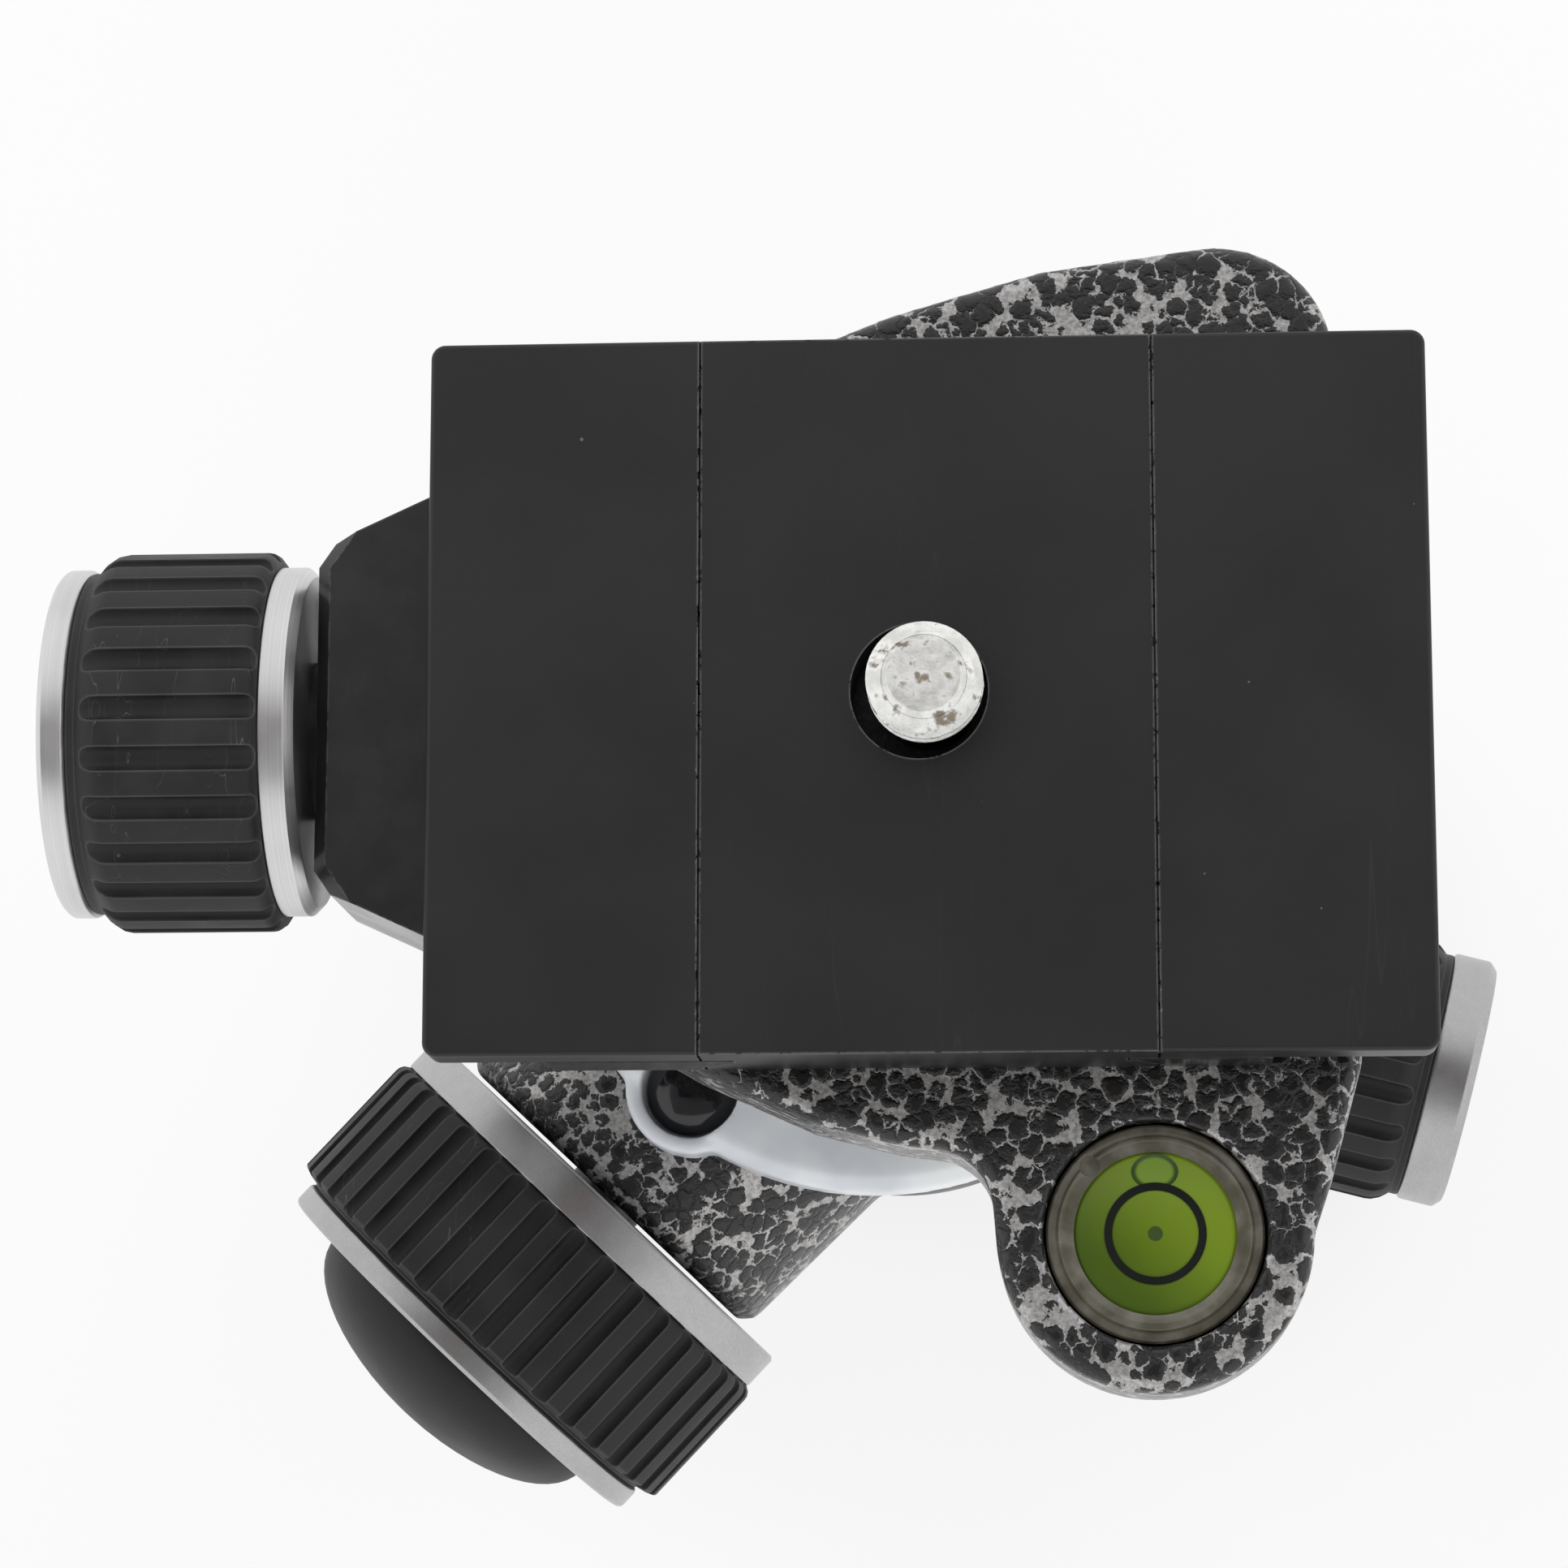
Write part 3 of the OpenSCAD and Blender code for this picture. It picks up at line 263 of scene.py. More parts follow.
def moulded(name, colour, roughness, grain=2400.0, depth=0.00002, dust=0.4, **sockets):
    """A moulded plastic, with a fine grain and a little dust."""
    material = finish(name, colour, 0.0, roughness, **sockets)
    tree = material.node_tree
    place = node(tree, "TexCoord").outputs["Object"]
    fine = noise(tree, place, grain, 3.0)
    cloud = noise(tree, place, 90.0, 3.0)
    marks = placed(tree, marks_group, Scratch_scale=240.0, Scratches=dust, Dust=dust)
    base = blend(tree, span(tree, cloud, 0.35, 0.65), tuple(c * 0.86 for c in colour),
                 tuple(min(1.0, c * 1.14) for c in colour))
    dusty = calc(tree, "MAXIMUM", calc(tree, "MULTIPLY", marks["Scratch mask"], 0.5), marks["Dust mask"])
    base = blend(tree, dusty, base, tuple(min(1.0, c + 0.12) for c in colour))
    feed(material, Base_Color=base, Normal=bump(tree, fine, depth),
         Roughness=span(tree, cloud, 0.3, 0.7, roughness * 0.9, min(1.0, roughness * 1.12)))
    return material


nylon = moulded("natural nylon", (0.72, 0.7, 0.64), 0.5, dust=0.1)
dress(nylon, "sliding_washer", "upper_seat", "lower_seat", "ball_shoe")
black_oxide = turned_metal("black oxide steel", (0.03, 0.03, 0.032), 0.38, metallic=0.6)
dress(black_oxide, "collar_screws", "stem_bolt", "rail_screws", "plate_clip")

# ---------------------------------------------------------------------- housing
# One die casting, with bosses for the two lock knobs and a notch at the back for the stem. It is
# painted with a hammered enamel that draws up into black cells over a silver ground, thick enough
# to round every edge. The clamp's casting has the same paint.


def only(piece):
    """Selects one piece alone."""
    bpy.ops.object.select_all(action="DESELECT")
    piece.select_set(True)
    bpy.context.view_layer.objects.active = piece


def cast_copy(name, cad_node, grain, passes):
    """A copy of a CAD casting with every edge rounded, as under thick paint."""
    piece = frame["nodes"][cad_node].copy()
    piece.data = piece.data.copy()
    piece.name = piece.data.name = name
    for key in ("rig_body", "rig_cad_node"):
        del piece[key]
    piece.parent = None
    bpy.context.scene.collection.objects.link(piece)
    only(piece)
    bpy.ops.object.mode_set(mode="EDIT")
    bpy.ops.mesh.select_all(action="SELECT")
    bpy.ops.mesh.remove_doubles(threshold=0.000002)
    bpy.ops.object.mode_set(mode="OBJECT")
    shrink(piece, "REMESH", mode="VOXEL", voxel_size=grain)
    shrink(piece, "SMOOTH", factor=0.5, iterations=passes)
    bpy.ops.object.shade_smooth()
    return piece


def shrink(piece, kind, **settings):
    """Adds a modifier to the piece and applies it."""
    bpy.context.view_layer.objects.active = piece
    modifier = piece.modifiers.new(kind.lower(), kind)
    for key, value in settings.items():
        setattr(modifier, key, value)
    bpy.ops.object.modifier_apply(modifier=modifier.name)


def hammered_enamel():
    """Round black cells of about 1.6 mm over silver, which shows between them as veins and stars, both paler
    along the edges as painted highlights.
    """
    material = finish("hammered enamel", (0.02, 0.02, 0.02), 0.0, 0.4, Coat_Weight=0.2, Coat_Roughness=0.25)
    tree = material.node_tree
    place = node(tree, "TexCoord").outputs["Object"]
    stir = node(tree, "TexNoise", None, Vector=place, Scale=900.0, Detail=4.0, Roughness=0.65)
    off = node(tree, "VectorMath", {"operation": "SUBTRACT"}, in0=stir.outputs["Color"], in1=(0.5, 0.5, 0.5))
    off = node(tree, "VectorMath", {"operation": "SCALE"}, in0=off.outputs[0], Scale=0.0016)
    moved = node(tree, "VectorMath", {"operation": "ADD"}, in0=place, in1=off.outputs[0]).outputs[0]
    blobs = node(tree, "TexVoronoi", {"feature": "F1"}, Vector=moved, Scale=600.0)
    gaps = node(tree, "TexVoronoi", {"feature": "DISTANCE_TO_EDGE"}, Vector=moved, Scale=600.0)
    drift = noise(tree, place, 95.0, 1.0)
    size = calc(tree, "MULTIPLY_ADD", blobs.outputs["Color"], 0.2,
                     calc(tree, "MULTIPLY_ADD", drift, 0.36, 0.41))
    merge = noise(tree, place, 420.0, 2.0)
    vein = calc(tree, "MULTIPLY_ADD", merge, 0.6, -0.31)
    level = calc(tree, "MINIMUM", calc(tree, "SUBTRACT", size, blobs.outputs["Distance"]),
                      calc(tree, "MULTIPLY_ADD", gaps.outputs["Distance"], 1.3, vein))
    black = span(tree, level, -0.025, 0.02)
    fleck = noise(tree, place, 2400.0, 4.0, 0.7)
    # Painted highlights: the silver ground and the black cells are made paler along the rounded edges, as if
    # they caught the light.
    edge = placed(tree, chips_and_highlight_group, Radius=0.0009, Chip_scale=700.0, Wear=0.5)["Edge"]
    ground = blend(tree, span(tree, fleck, 0.35, 0.65), (0.3, 0.29, 0.285), (0.56, 0.55, 0.54))
    ground = blend(tree, calc(tree, "MULTIPLY", edge, 0.7), ground, (0.9, 0.9, 0.92))
    cell = blend(tree, span(tree, fleck, 0.58, 0.76), (0.006, 0.006, 0.006), (0.06, 0.058, 0.056))
    cell = blend(tree, calc(tree, "MULTIPLY", edge, 0.25), cell, (0.2, 0.2, 0.21))
    feed(material, Base_Color=blend(tree, black, ground, cell),
         Metallic=calc(tree, "MULTIPLY_ADD", black, -0.7, 0.7),
         Roughness=span(tree, black, 0.0, 1.0, 0.45, 0.28),
         Normal=bump(tree, calc(tree, "MULTIPLY_ADD", fleck, 0.2, span(tree, level, -0.06, 0.3)), 0.00018))
    return material


def make(piece, material, body, slot, *nodes):
    """The piece's material and its place in the frame."""
    piece.data.materials.clear()
    piece.data.materials.append(material)
    if nodes:
        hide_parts(*nodes)
    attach(piece, body)


enamel = hammered_enamel()
housing = cast_copy("housing_casting", "housing", grain=0.00055, passes=4)
make(housing, enamel, "housing", "speckled_paint", "housing")

# ----------------------------------------------------------------------- collar
# The collar closes the housing over the ball's upper seat. It is a casting too, in smooth satin
# light grey, with a lobe over the main knob where its largest screw sits in a recess.

collar_grey = moulded("satin grey enamel", (0.84, 0.87, 0.93), 0.32, grain=1400.0, depth=0.00001, dust=0.15,
                      Coat_Weight=0.15)
collar = cast_copy("collar_casting", "collar", grain=0.0004, passes=5)
make(collar, collar_grey, "housing", "collar_enamel", "collar")


def lathe(name, profile, steps=96, closed=True):
    """Turns a profile of (radius, height) points in mm about Z: a circle is extruded and resized."""
    bpy.ops.object.select_all(action="DESELECT")
    radius, height = profile[0]
    bpy.ops.mesh.primitive_circle_add(vertices=steps, radius=radius * mm, location=(0, 0, height * mm))
    bpy.ops.object.transform_apply(location=True, rotation=True, scale=True)
    piece = bpy.context.object
    piece.name = piece.data.name = name
    bpy.ops.object.mode_set(mode="EDIT")
    bpy.ops.mesh.select_all(action="SELECT")
    for next_radius, next_height in profile[1:] + (profile[:1] if closed else []):
        bpy.ops.mesh.extrude_edges_move(TRANSFORM_OT_translate={"value": (0, 0, (next_height - height) * mm)})
        scale = next_radius / radius
        bpy.ops.transform.resize(value=(scale, scale, 1), center_override=(0, 0, next_height * mm))
        radius, height = next_radius, next_height
    bpy.ops.mesh.select_all(action="SELECT")
    bpy.ops.mesh.remove_doubles(threshold=0.000004)
    bpy.ops.mesh.normals_make_consistent(inside=False)
    bpy.ops.object.mode_set(mode="OBJECT")
    return piece


def soften(piece, width, segments=3, angle=28, smooth=38):
    """Rounds the sharp edges, and shades the rest smooth."""
    shrink(piece, "BEVEL", width=width * mm, segments=segments, limit_method="ANGLE",
           angle_limit=math.radians(angle))
    return shade(piece, smooth)


def shade(piece, smooth=38):
    """Smooth shading up to an angle, in which the large faces stay flat."""
    only(piece)
    bpy.ops.object.shade_smooth_by_angle(angle=math.radians(smooth))
    shrink(piece, "WEIGHTED_NORMAL", keep_sharp=True)
    return piece


def fit_at(piece, turn=(0, 0, 0), place=(0, 0, 0)):
    """Turns and moves a piece to its place, which then is in its mesh."""
    only(piece)
    piece.rotation_euler = turn
    piece.location = place
    bpy.ops.object.transform_apply(location=True, rotation=True, scale=True)
    return piece


axis_point = 0.002          # radius that stands for a point on a lathe's axis, in mm
lobe_low, lobe_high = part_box("collar_lobe_screw")
lobe_centre = (lobe_low + lobe_high) / 2
screw_low, lobe_floor = lobe_low.z / mm, lobe_high.z / mm - 2.5
lobe_screw = lathe("lobe_screw", [
    (axis_point, screw_low), (1.5, screw_low), (1.5, lobe_floor), (4.2, lobe_floor), (4.2, lobe_floor + 0.8),
    (3.9, lobe_floor + 1.3), (3.1, lobe_floor + 1.85), (2.0, lobe_floor + 2.3), (1.0, lobe_floor + 2.46),
    (axis_point, lobe_floor + 2.5)], 64, closed=False)
soften(lobe_screw, 0.12, 2)
fit_at(lobe_screw, place=(lobe_centre.x, lobe_centre.y, 0))


def polished_black():
    """Black steel with a polish that is dulled in patches."""
    material = finish("black screw", (0.012, 0.012, 0.014), 0.4, 0.14, Coat_Weight=0.6)
    tree = material.node_tree
    cloud = noise(tree, node(tree, "TexCoord").outputs["Object"], 700.0, 4.0)
    feed(material, Roughness=span(tree, cloud, 0.3, 0.75, 0.08, 0.3))
    return material


make(lobe_screw, polished_black(), "housing", "black_steel", "collar_lobe_screw")

# ---------------------------------------------------------------- ball and stem
# A polished hard-anodised ball, bolted to a turned stem that carries the clamp on its flange.

dress(turned_metal("polished ball", (0.6, 0.61, 0.63), 0.12, ringed=0.000002), "ball")
dress(satin_alloy, "stem")

# -------------------------------------------------------------------- main lock
# The main knob: a ribbed rubber grip on a moulded core, between two turned aluminium rings, with a
# smooth black dome pressed into the outer one. Its screw pushes a nylon shoe onto the ball.


def ribbed_rubber():
    """Dull black rubber, paler along its edges, partly as worn rubber and partly as a painted highlight, with
    fine dust.
    """
    material = finish("ribbed rubber", (0.013, 0.013, 0.014), 0.0, 0.55, Specular_IOR_Level=0.35)
    tree = material.node_tree
    place = node(tree, "TexCoord").outputs["Object"]
    fine = noise(tree, place, 3000.0, 4.0, 0.7)
    cloud = noise(tree, place, 160.0, 4.0)
    marks = placed(tree, marks_group, Scratch_scale=330.0, Scratches=0.7, Dust=0.5)
    chips_and_highlight = placed(tree, chips_and_highlight_group, Radius=0.00035, Chip_scale=1500.0, Wear=0.75)
    base = blend(tree, span(tree, cloud, 0.3, 0.7), (0.012, 0.012, 0.013), (0.024, 0.024, 0.025))
    # Paler edges: partly worn rubber, partly a painted highlight.
    rubbed_and_highlight = calc(tree, "MULTIPLY", chips_and_highlight["Edge"], span(tree, cloud, 0.35, 0.65, 0.08, 0.3))
    base = blend(tree, rubbed_and_highlight, base, (0.09, 0.09, 0.095))
    pale = calc(tree, "MAXIMUM", marks["Dust mask"], calc(tree, "MULTIPLY", chips_and_highlight["Mask"], 0.35))
    base = blend(tree, calc(tree, "MULTIPLY", calc(tree, "MAXIMUM", pale, marks["Scratch mask"]), 0.6),
                 base, (0.2, 0.2, 0.2))
    feed(material, Base_Color=base, Roughness=span(tree, cloud, 0.3, 0.7, 0.5, 0.68),
         Normal=bump(tree, fine, 0.00003))
    return material


def ribbed_grip(name, outer, start, end, bore, ribs, lip, run=3.0):
    """A rubber sleeve: a turned blank with one groove milled out again and again round it."""
    floor, fall = outer - 0.9, outer - lip
    blank = lathe(name, [
        (bore, start), (floor, start), (outer - 0.3, start + 0.4), (outer - 0.06, start + 0.8),
        (outer, start + 1.2), (outer, end - run), (outer - 0.08 * fall, end - 0.8 * run),
        (outer - 0.4 * fall, end - 0.53 * run), (outer - 0.85 * fall, end - 0.32 * run),
        (lip, end - 0.27 * run), (lip, end - 0.1), (lip - 0.1, end), (bore, end)], ribs * 6)
    width = math.pi * floor / ribs
    bpy.ops.object.select_all(action="DESELECT")
    bpy.ops.mesh.primitive_cube_add(size=1, location=((floor + 1) * mm, 0, (start + end) / 2 * mm))
    cutter = bpy.context.object
    cutter.scale = (2 * mm, width * mm, (end - start + 4) * mm)
    bpy.ops.object.transform_apply(location=True, rotation=True, scale=True)
    bpy.ops.object.mode_set(mode="EDIT")
    bpy.ops.mesh.select_all(action="DESELECT")
    bpy.ops.mesh.select_mode(type="EDGE")
    bpy.ops.object.mode_set(mode="OBJECT")
    for edge in cutter.data.edges:
        ends = [cutter.data.vertices[v].co for v in edge.vertices]
        edge.select = all(e.x < (floor + 0.5) * mm for e in ends) and abs(ends[0].z - ends[1].z) > mm
    bpy.ops.object.mode_set(mode="EDIT")
    bpy.ops.mesh.bevel(offset=0.43 * width * mm, segments=5)
    bpy.ops.mesh.select_all(action="SELECT")
    bpy.ops.mesh.spin(steps=ribs - 1, dupli=True, angle=math.tau * (ribs - 1) / ribs, center=(0, 0, 0),
                      axis=(0, 0, 1))
    bpy.ops.mesh.select_all(action="SELECT")
    bpy.ops.mesh.normals_make_consistent(inside=False)
    bpy.ops.object.mode_set(mode="OBJECT")
    shrink(blank, "BOOLEAN", object=cutter, operation="DIFFERENCE", solver="EXACT")
    bpy.data.objects.remove(cutter)
    return soften(blank, 0.16, 2, 35, 40)


def outward(azimuth, height):
    """How a piece turned about Z lies along a direction, at a height in mm."""
    return (0, math.pi / 2, math.radians(azimuth)), (0, 0, height * mm)


rubber = ribbed_rubber()
main_azimuth, main_z = 226.7, 47
main_way = outward(main_azimuth, main_z)
main_grip = ribbed_grip("main_grip", outer=23, start=43.0, end=57.4, bore=19.5, ribs=38, lip=21.05, run=0.9)
make(fit_at(main_grip, *main_way), rubber, "main_knob", "black_rubber", "main_knob_grip")


def ring_metal(name, turn, centre, colour=(0.55, 0.545, 0.55)):
    """Turned aluminium of a knob's rings, with its lines round the knob's axis."""
    return turned_metal(name, colour, 0.36, turn, centre, ringed=0.000008)


def fit_turned(piece, way, material, slot, rounding, angle=28):
    """Rounds a knob's turned piece and puts it in place. Its name is the knob's, then the part's."""
    knob, part = piece.name.split("_", 1)
    make(fit_at(soften(piece, rounding, 2, angle), *way), material, knob + "_knob", slot,
         knob + "_knob_" + part)


main_ring_metal = ring_metal("main knob rings", (0, -math.pi / 2, -math.radians(main_azimuth)),
                             (0, 0, main_z * mm))
main_outer = lathe("main_outer_ring", [(12, 57.4), (21.05, 57.4), (21.35, 57.7), (21.35, 59.5), (21.05, 59.8),
                                       (12, 59.8)], 128)
fit_turned(main_outer, main_way, main_ring_metal, "silver_ring", 0.15)
main_inner = lathe("main_inner_ring", [(10, 39.4), (22.0, 39.4), (22.3, 39.7), (22.3, 42.9), (22.2, 43.0),
                                       (10, 43.0)], 128)
fit_turned(main_inner, main_way, main_ring_metal, "silver_ring", 0.2)
matte_cap = moulded("matte black moulding", (0.01, 0.01, 0.0105), 0.5, dust=0.2, Specular_IOR_Level=0.35)
dome_r, dome_h, dome_from = 16.2, 7.4, 59.8
dome_rise = [(dome_r * math.cos(math.radians(a)), dome_from + dome_h * math.sin(math.radians(a)))
             for a in range(6, 90, 6)]
main_dome = lathe("main_dome", [
    (axis_point, 57.4), (12, 57.4), (12, dome_from), (dome_r, dome_from), *dome_rise,
    (axis_point, dome_from + dome_h)], 128, closed=False)
fit_turned(main_dome, main_way, matte_cap, "black_cap", 0.25, 40)
dress(matte_cap, "main_knob_core", "pan_knob_core", "clamp_knob_core")

# ----------------------------------------------------------------- panning lock
# A smaller knob made the same way, low on the housing's right, with a flat cap in place of the dome.

pan_azimuth, pan_z = -14.5, 18
pan_way = outward(pan_azimuth, pan_z)
pan_ring_metal = ring_metal("panning knob rings", (0, -math.pi / 2, -math.radians(pan_azimuth)),
                            (0, 0, pan_z * mm))
pan_grip = ribbed_grip("pan_grip", outer=13.6, start=45.6, end=55.3, bore=10.8, ribs=20, lip=12.45)
make(fit_at(pan_grip, *pan_way), rubber, "pan_knob", "black_rubber", "pan_knob_grip")
pan_outer = lathe("pan_outer_ring", [(8.4, 55.3), (12.45, 55.3), (12.75, 55.6), (12.75, 59.0), (11.95, 59.8),
                                     (8.4, 59.8)], 96)
fit_turned(pan_outer, pan_way, pan_ring_metal, "silver_ring", 0.15)
pan_inner = lathe("pan_inner_ring", [(6, 43.1), (12.35, 43.1), (12.75, 43.5), (12.75, 45.6), (6, 45.6)], 96)
fit_turned(pan_inner, pan_way, pan_ring_metal, "silver_ring", 0.12)
pan_cap = lathe("pan_cap", [(axis_point, 55.3), (8.4, 55.3), (8.4, 59.0), (8.1, 59.3), (6.2, 59.3),
                            (5.9, 59.05), (axis_point, 59.05)], 96, closed=False)
fit_turned(pan_cap, pan_way, matte_cap, "black_cap", 0.1)

# ------------------------------------------------------------------------ clamp
# The clamp's casting lies on the stem's flange and has an ear for the level. A black anodised rail
# is screwed to its right side, and the screw and two guide pins stand out of its left side.

casting = cast_copy("clamp_body", "clamp_casting", grain=0.0005, passes=3)
make(casting, enamel, "clamp", "speckled_paint", "clamp_casting")


def gloss_black():
    """Glossy black anodising, worn grey along its edges."""
    material = finish("gloss black anodising", (0.008, 0.008, 0.009), 0.3, 0.26, Coat_Weight=0.1)
    tree = material.node_tree
    place = node(tree, "TexCoord").outputs["Object"]
    cloud = noise(tree, place, 210.0, 5.0)
    marks = placed(tree, marks_group, Scratch_scale=200.0, Scratches=0.5, Dust=0.45)
    chips_and_highlight = placed(tree, chips_and_highlight_group, Radius=0.0003, Chip_scale=1100.0, Wear=0.35)
    base = blend(tree, span(tree, cloud, 0.35, 0.7), (0.02, 0.02, 0.021), (0.028, 0.028, 0.029))
    pale = calc(tree, "MAXIMUM", marks["Dust mask"], calc(tree, "MULTIPLY", chips_and_highlight["Mask"], 0.7))
    base = blend(tree, calc(tree, "MULTIPLY", calc(tree, "MAXIMUM", pale, marks["Scratch mask"]), 0.5),
                 base, (0.28, 0.28, 0.28))
    feed(material, Base_Color=base, Roughness=span(tree, cloud, 0.3, 0.7, 0.23, 0.29))
    return material


def extruded(name, outline, low, high, axis="Z"):
    """A bar of a section in mm, drawn with a filled loop of vertices and extruded from low to high."""
    bpy.ops.object.select_all(action="DESELECT")
    bpy.ops.mesh.primitive_circle_add(vertices=len(outline), radius=mm, fill_type="NGON")
    piece = bpy.context.object
    piece.name = piece.data.name = name
    for vertex, (x, y) in zip(piece.data.vertices, outline):
        vertex.co = (x * mm, y * mm, low * mm) if axis == "Z" else (x * mm, low * mm, y * mm)
    step = (0, 0, (high - low) * mm) if axis == "Z" else (0, (high - low) * mm, 0)
    bpy.ops.object.mode_set(mode="EDIT")
    bpy.ops.mesh.select_all(action="SELECT")
    bpy.ops.mesh.extrude_region_move(TRANSFORM_OT_translate={"value": step})
    bpy.ops.mesh.select_all(action="SELECT")
    bpy.ops.mesh.normals_make_consistent(inside=False)
    bpy.ops.object.mode_set(mode="OBJECT")
    return piece


def cut_with(piece, cutter, operation="DIFFERENCE"):
    """Cuts a piece with another, which is used up, or joins or trims it."""
    shrink(piece, "BOOLEAN", object=cutter, operation=operation, solver="EXACT")
    bpy.data.objects.remove(cutter)
    return piece


def drill(piece, radius, low, high, turn=(0, 0, 0), place=(0, 0, 0)):
    """Drills a round hole from low to high, in mm, along a turned axis."""
    bit = lathe("bit", [(axis_point, low), (radius, low), (radius, high), (axis_point, high)], 64,
                closed=False)
    return cut_with(piece, fit_at(bit, turn, place))


plate_low, plate_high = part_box("quick_release_plate")
south, north = plate_low.y / mm, plate_high.y / mm
plate_x, plate_y = (plate_low.x + plate_high.x) / 2 / mm, (south + north) / 2
foot_z, plate_top = plate_low.z / mm, plate_high.z / mm
wing_z = foot_z + 5.7
bed_z, rail_top = foot_z - 0.05, wing_z - 0.3
edge_top, slope_top = foot_z + 1.3, foot_z + 4.2
screw_y, screw_z, pins_z = 5.3, bed_z - 7.5, bed_z - 6
black_gloss = gloss_black()
rail = extruded("rail", [(plate_x + 19.05, bed_z), (plate_x + 19.05, edge_top), (plate_x + 16.15, slope_top),
                         (plate_x + 16.15, rail_top), (33.8, rail_top), (34.8, rail_top - 1), (34.8, bed_z)],
                south, north, "Y")
soften(rail, 0.3, 3)
for rail_y in (-13, 24.4):
    rail_hole = (30.2 * mm, rail_y * mm, 0)
    drill(rail, 3.45, rail_top - 3.35, rail_top + 1, place=rail_hole)
    drill(rail, 2.05, bed_z - 1, rail_top, place=rail_hole)
make(shade(rail), black_gloss, "clamp", "black_jaw", "fixed_rail")

# ------------------------------------------------------------------- moving jaw
# A block of the same black anodised aluminium, narrower at its outer face, with its top edges
# chamfered. Its lip holds the plate's dovetail, and it slides on the clamp's screw and guide pins.

jaw_out, jaw_bottom, jaw_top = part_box("moving_jaw")[0].x / mm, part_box("moving_jaw")[0].z / mm, bed_z + 2
jaw_in, half_face, flare, nick = -35.2, 14.4, 0.46, 1.4
half_in = half_face + (jaw_in - jaw_out) * flare
shoulder_x, shoulder, half_lip, lip_slant = jaw_out + 12, 19.92, 29.9, 1.2
wide_x = shoulder_x + (half_lip - shoulder) / lip_slant


def jaw_sides(*sides):
    """The jaw's plan from points on its side to its outer face, with the corners clipped, and back."""
    points = list(sides) + [(jaw_out + nick, half_face + 0.64), (jaw_out, half_face - nick)]
    return [(x, plate_y + y) for x, y in points] + [(x, plate_y - y) for x, y in reversed(points)]


def chamfer(piece, width, pick, segments=1):
    """Bevels the edges whose two ends are both picked by their place in mm."""
    bpy.context.view_layer.objects.active = piece
    for part in (piece.data.vertices, piece.data.edges, piece.data.polygons):
        for one in part:
            one.select = False
    for edge in piece.data.edges:
        edge.select = all(pick(*(piece.data.vertices[v].co / mm)) for v in edge.vertices)
    bpy.ops.object.mode_set(mode="EDIT")
    bpy.ops.mesh.select_mode(type="EDGE")
    bpy.ops.mesh.bevel(offset=width * mm, segments=segments)
    bpy.ops.object.mode_set(mode="OBJECT")


jaw = extruded("jaw", jaw_sides((jaw_in, half_in)), jaw_bottom, jaw_top)
chamfer(jaw, 1.1, lambda x, y, z: z > jaw_top - 0.01 and x < jaw_in - 0.5)
bar = extruded("bar", [(jaw_in - 1, foot_z), (plate_x - 19.05, foot_z), (plate_x - 19.05, edge_top),
                       (plate_x - 16.15, slope_top), (plate_x - 16.15, rail_top), (-33.1, rail_top),
                       (-34.4, jaw_top - 0.6), (jaw_in - 1, jaw_top - 0.6)], south - 1, north + 1, "Y")
wings = extruded("wings", [(0, north), (wide_x, north)] + jaw_sides((shoulder_x, shoulder))
                 + [(wide_x, south), (0, south)], foot_z - 1, rail_top + 1)
cut_with(bar, wings, "INTERSECT")
cut_with(jaw, bar, "UNION")
to_left, pin_reach = (0, -math.pi / 2, 0), 11
drill(jaw, 3.4, 30, 46, to_left, (0, screw_y * mm, screw_z * mm))
for side in (-1, 1):
    drill(jaw, 2.55, 30, 42.6, to_left, (0, (screw_y + side * pin_reach) * mm, pins_z * mm))
make(soften(jaw, 0.25, 3), black_gloss, "moving_jaw", "black_jaw", "moving_jaw")

# ------------------------------------------------------------------- clamp knob
# The same kind of knob again, on the clamp's fixed screw. It pushes the jaw in and follows it out,
# and a flat cap closes its end.

clamp_way = (to_left, (0, screw_y * mm, screw_z * mm))
# Painted light: the clamp knob's rings are the same aluminium as the other knobs' rings, given a paler colour
# here.
clamp_ring_metal = ring_metal("clamp knob rings", (0, math.pi / 2, 0), clamp_way[1], (0.8, 0.79, 0.79))
clamp_grip = ribbed_grip("clamp_grip", outer=16.3, start=49.0, end=65.2, bore=13.5, ribs=24, lip=14.7)
make(fit_at(clamp_grip, *clamp_way), rubber, "clamp_knob", "black_rubber", "clamp_knob_grip")
clamp_outer = lathe("clamp_outer_ring", [(10.5, 65.2), (14.7, 65.2), (15.0, 65.5), (15.0, 67.2), (14.6, 67.6),
                                         (10.5, 67.6)], 112)
fit_turned(clamp_outer, clamp_way, clamp_ring_metal, "silver_ring", 0.12)
clamp_inner = lathe("clamp_inner_ring", [(6.8, 46.0), (14.2, 46.0), (15.0, 46.8), (15.0, 48.9), (14.9, 49.0),
                                         (6.8, 49.0)], 112)
fit_turned(clamp_inner, clamp_way, clamp_ring_metal, "silver_ring", 0.12)
clamp_cap = lathe("clamp_cap", [(axis_point, 65.2), (10.5, 65.2), (10.5, 66.7), (10.2, 67.0), (8.0, 67.0),
                                (7.6, 66.7), (axis_point, 66.7)], 96, closed=False)
fit_turned(clamp_cap, clamp_way, matte_cap, "black_cap", 0.1)

# ------------------------------------------------------------------------ level
# A bull's-eye level, pressed into the casting's ear. Its clear acrylic body has a raised rim with
# the filling plug in it, and the green liquid holds a bubble, with a ring and a dot to centre it.

vial_low, vial_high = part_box("level_vial")
level_at = ((vial_low.x + vial_high.x) / 2, (vial_low.y + vial_high.y) / 2, 0)
vial_z, vial_top = vial_low.z / mm, vial_high.z / mm


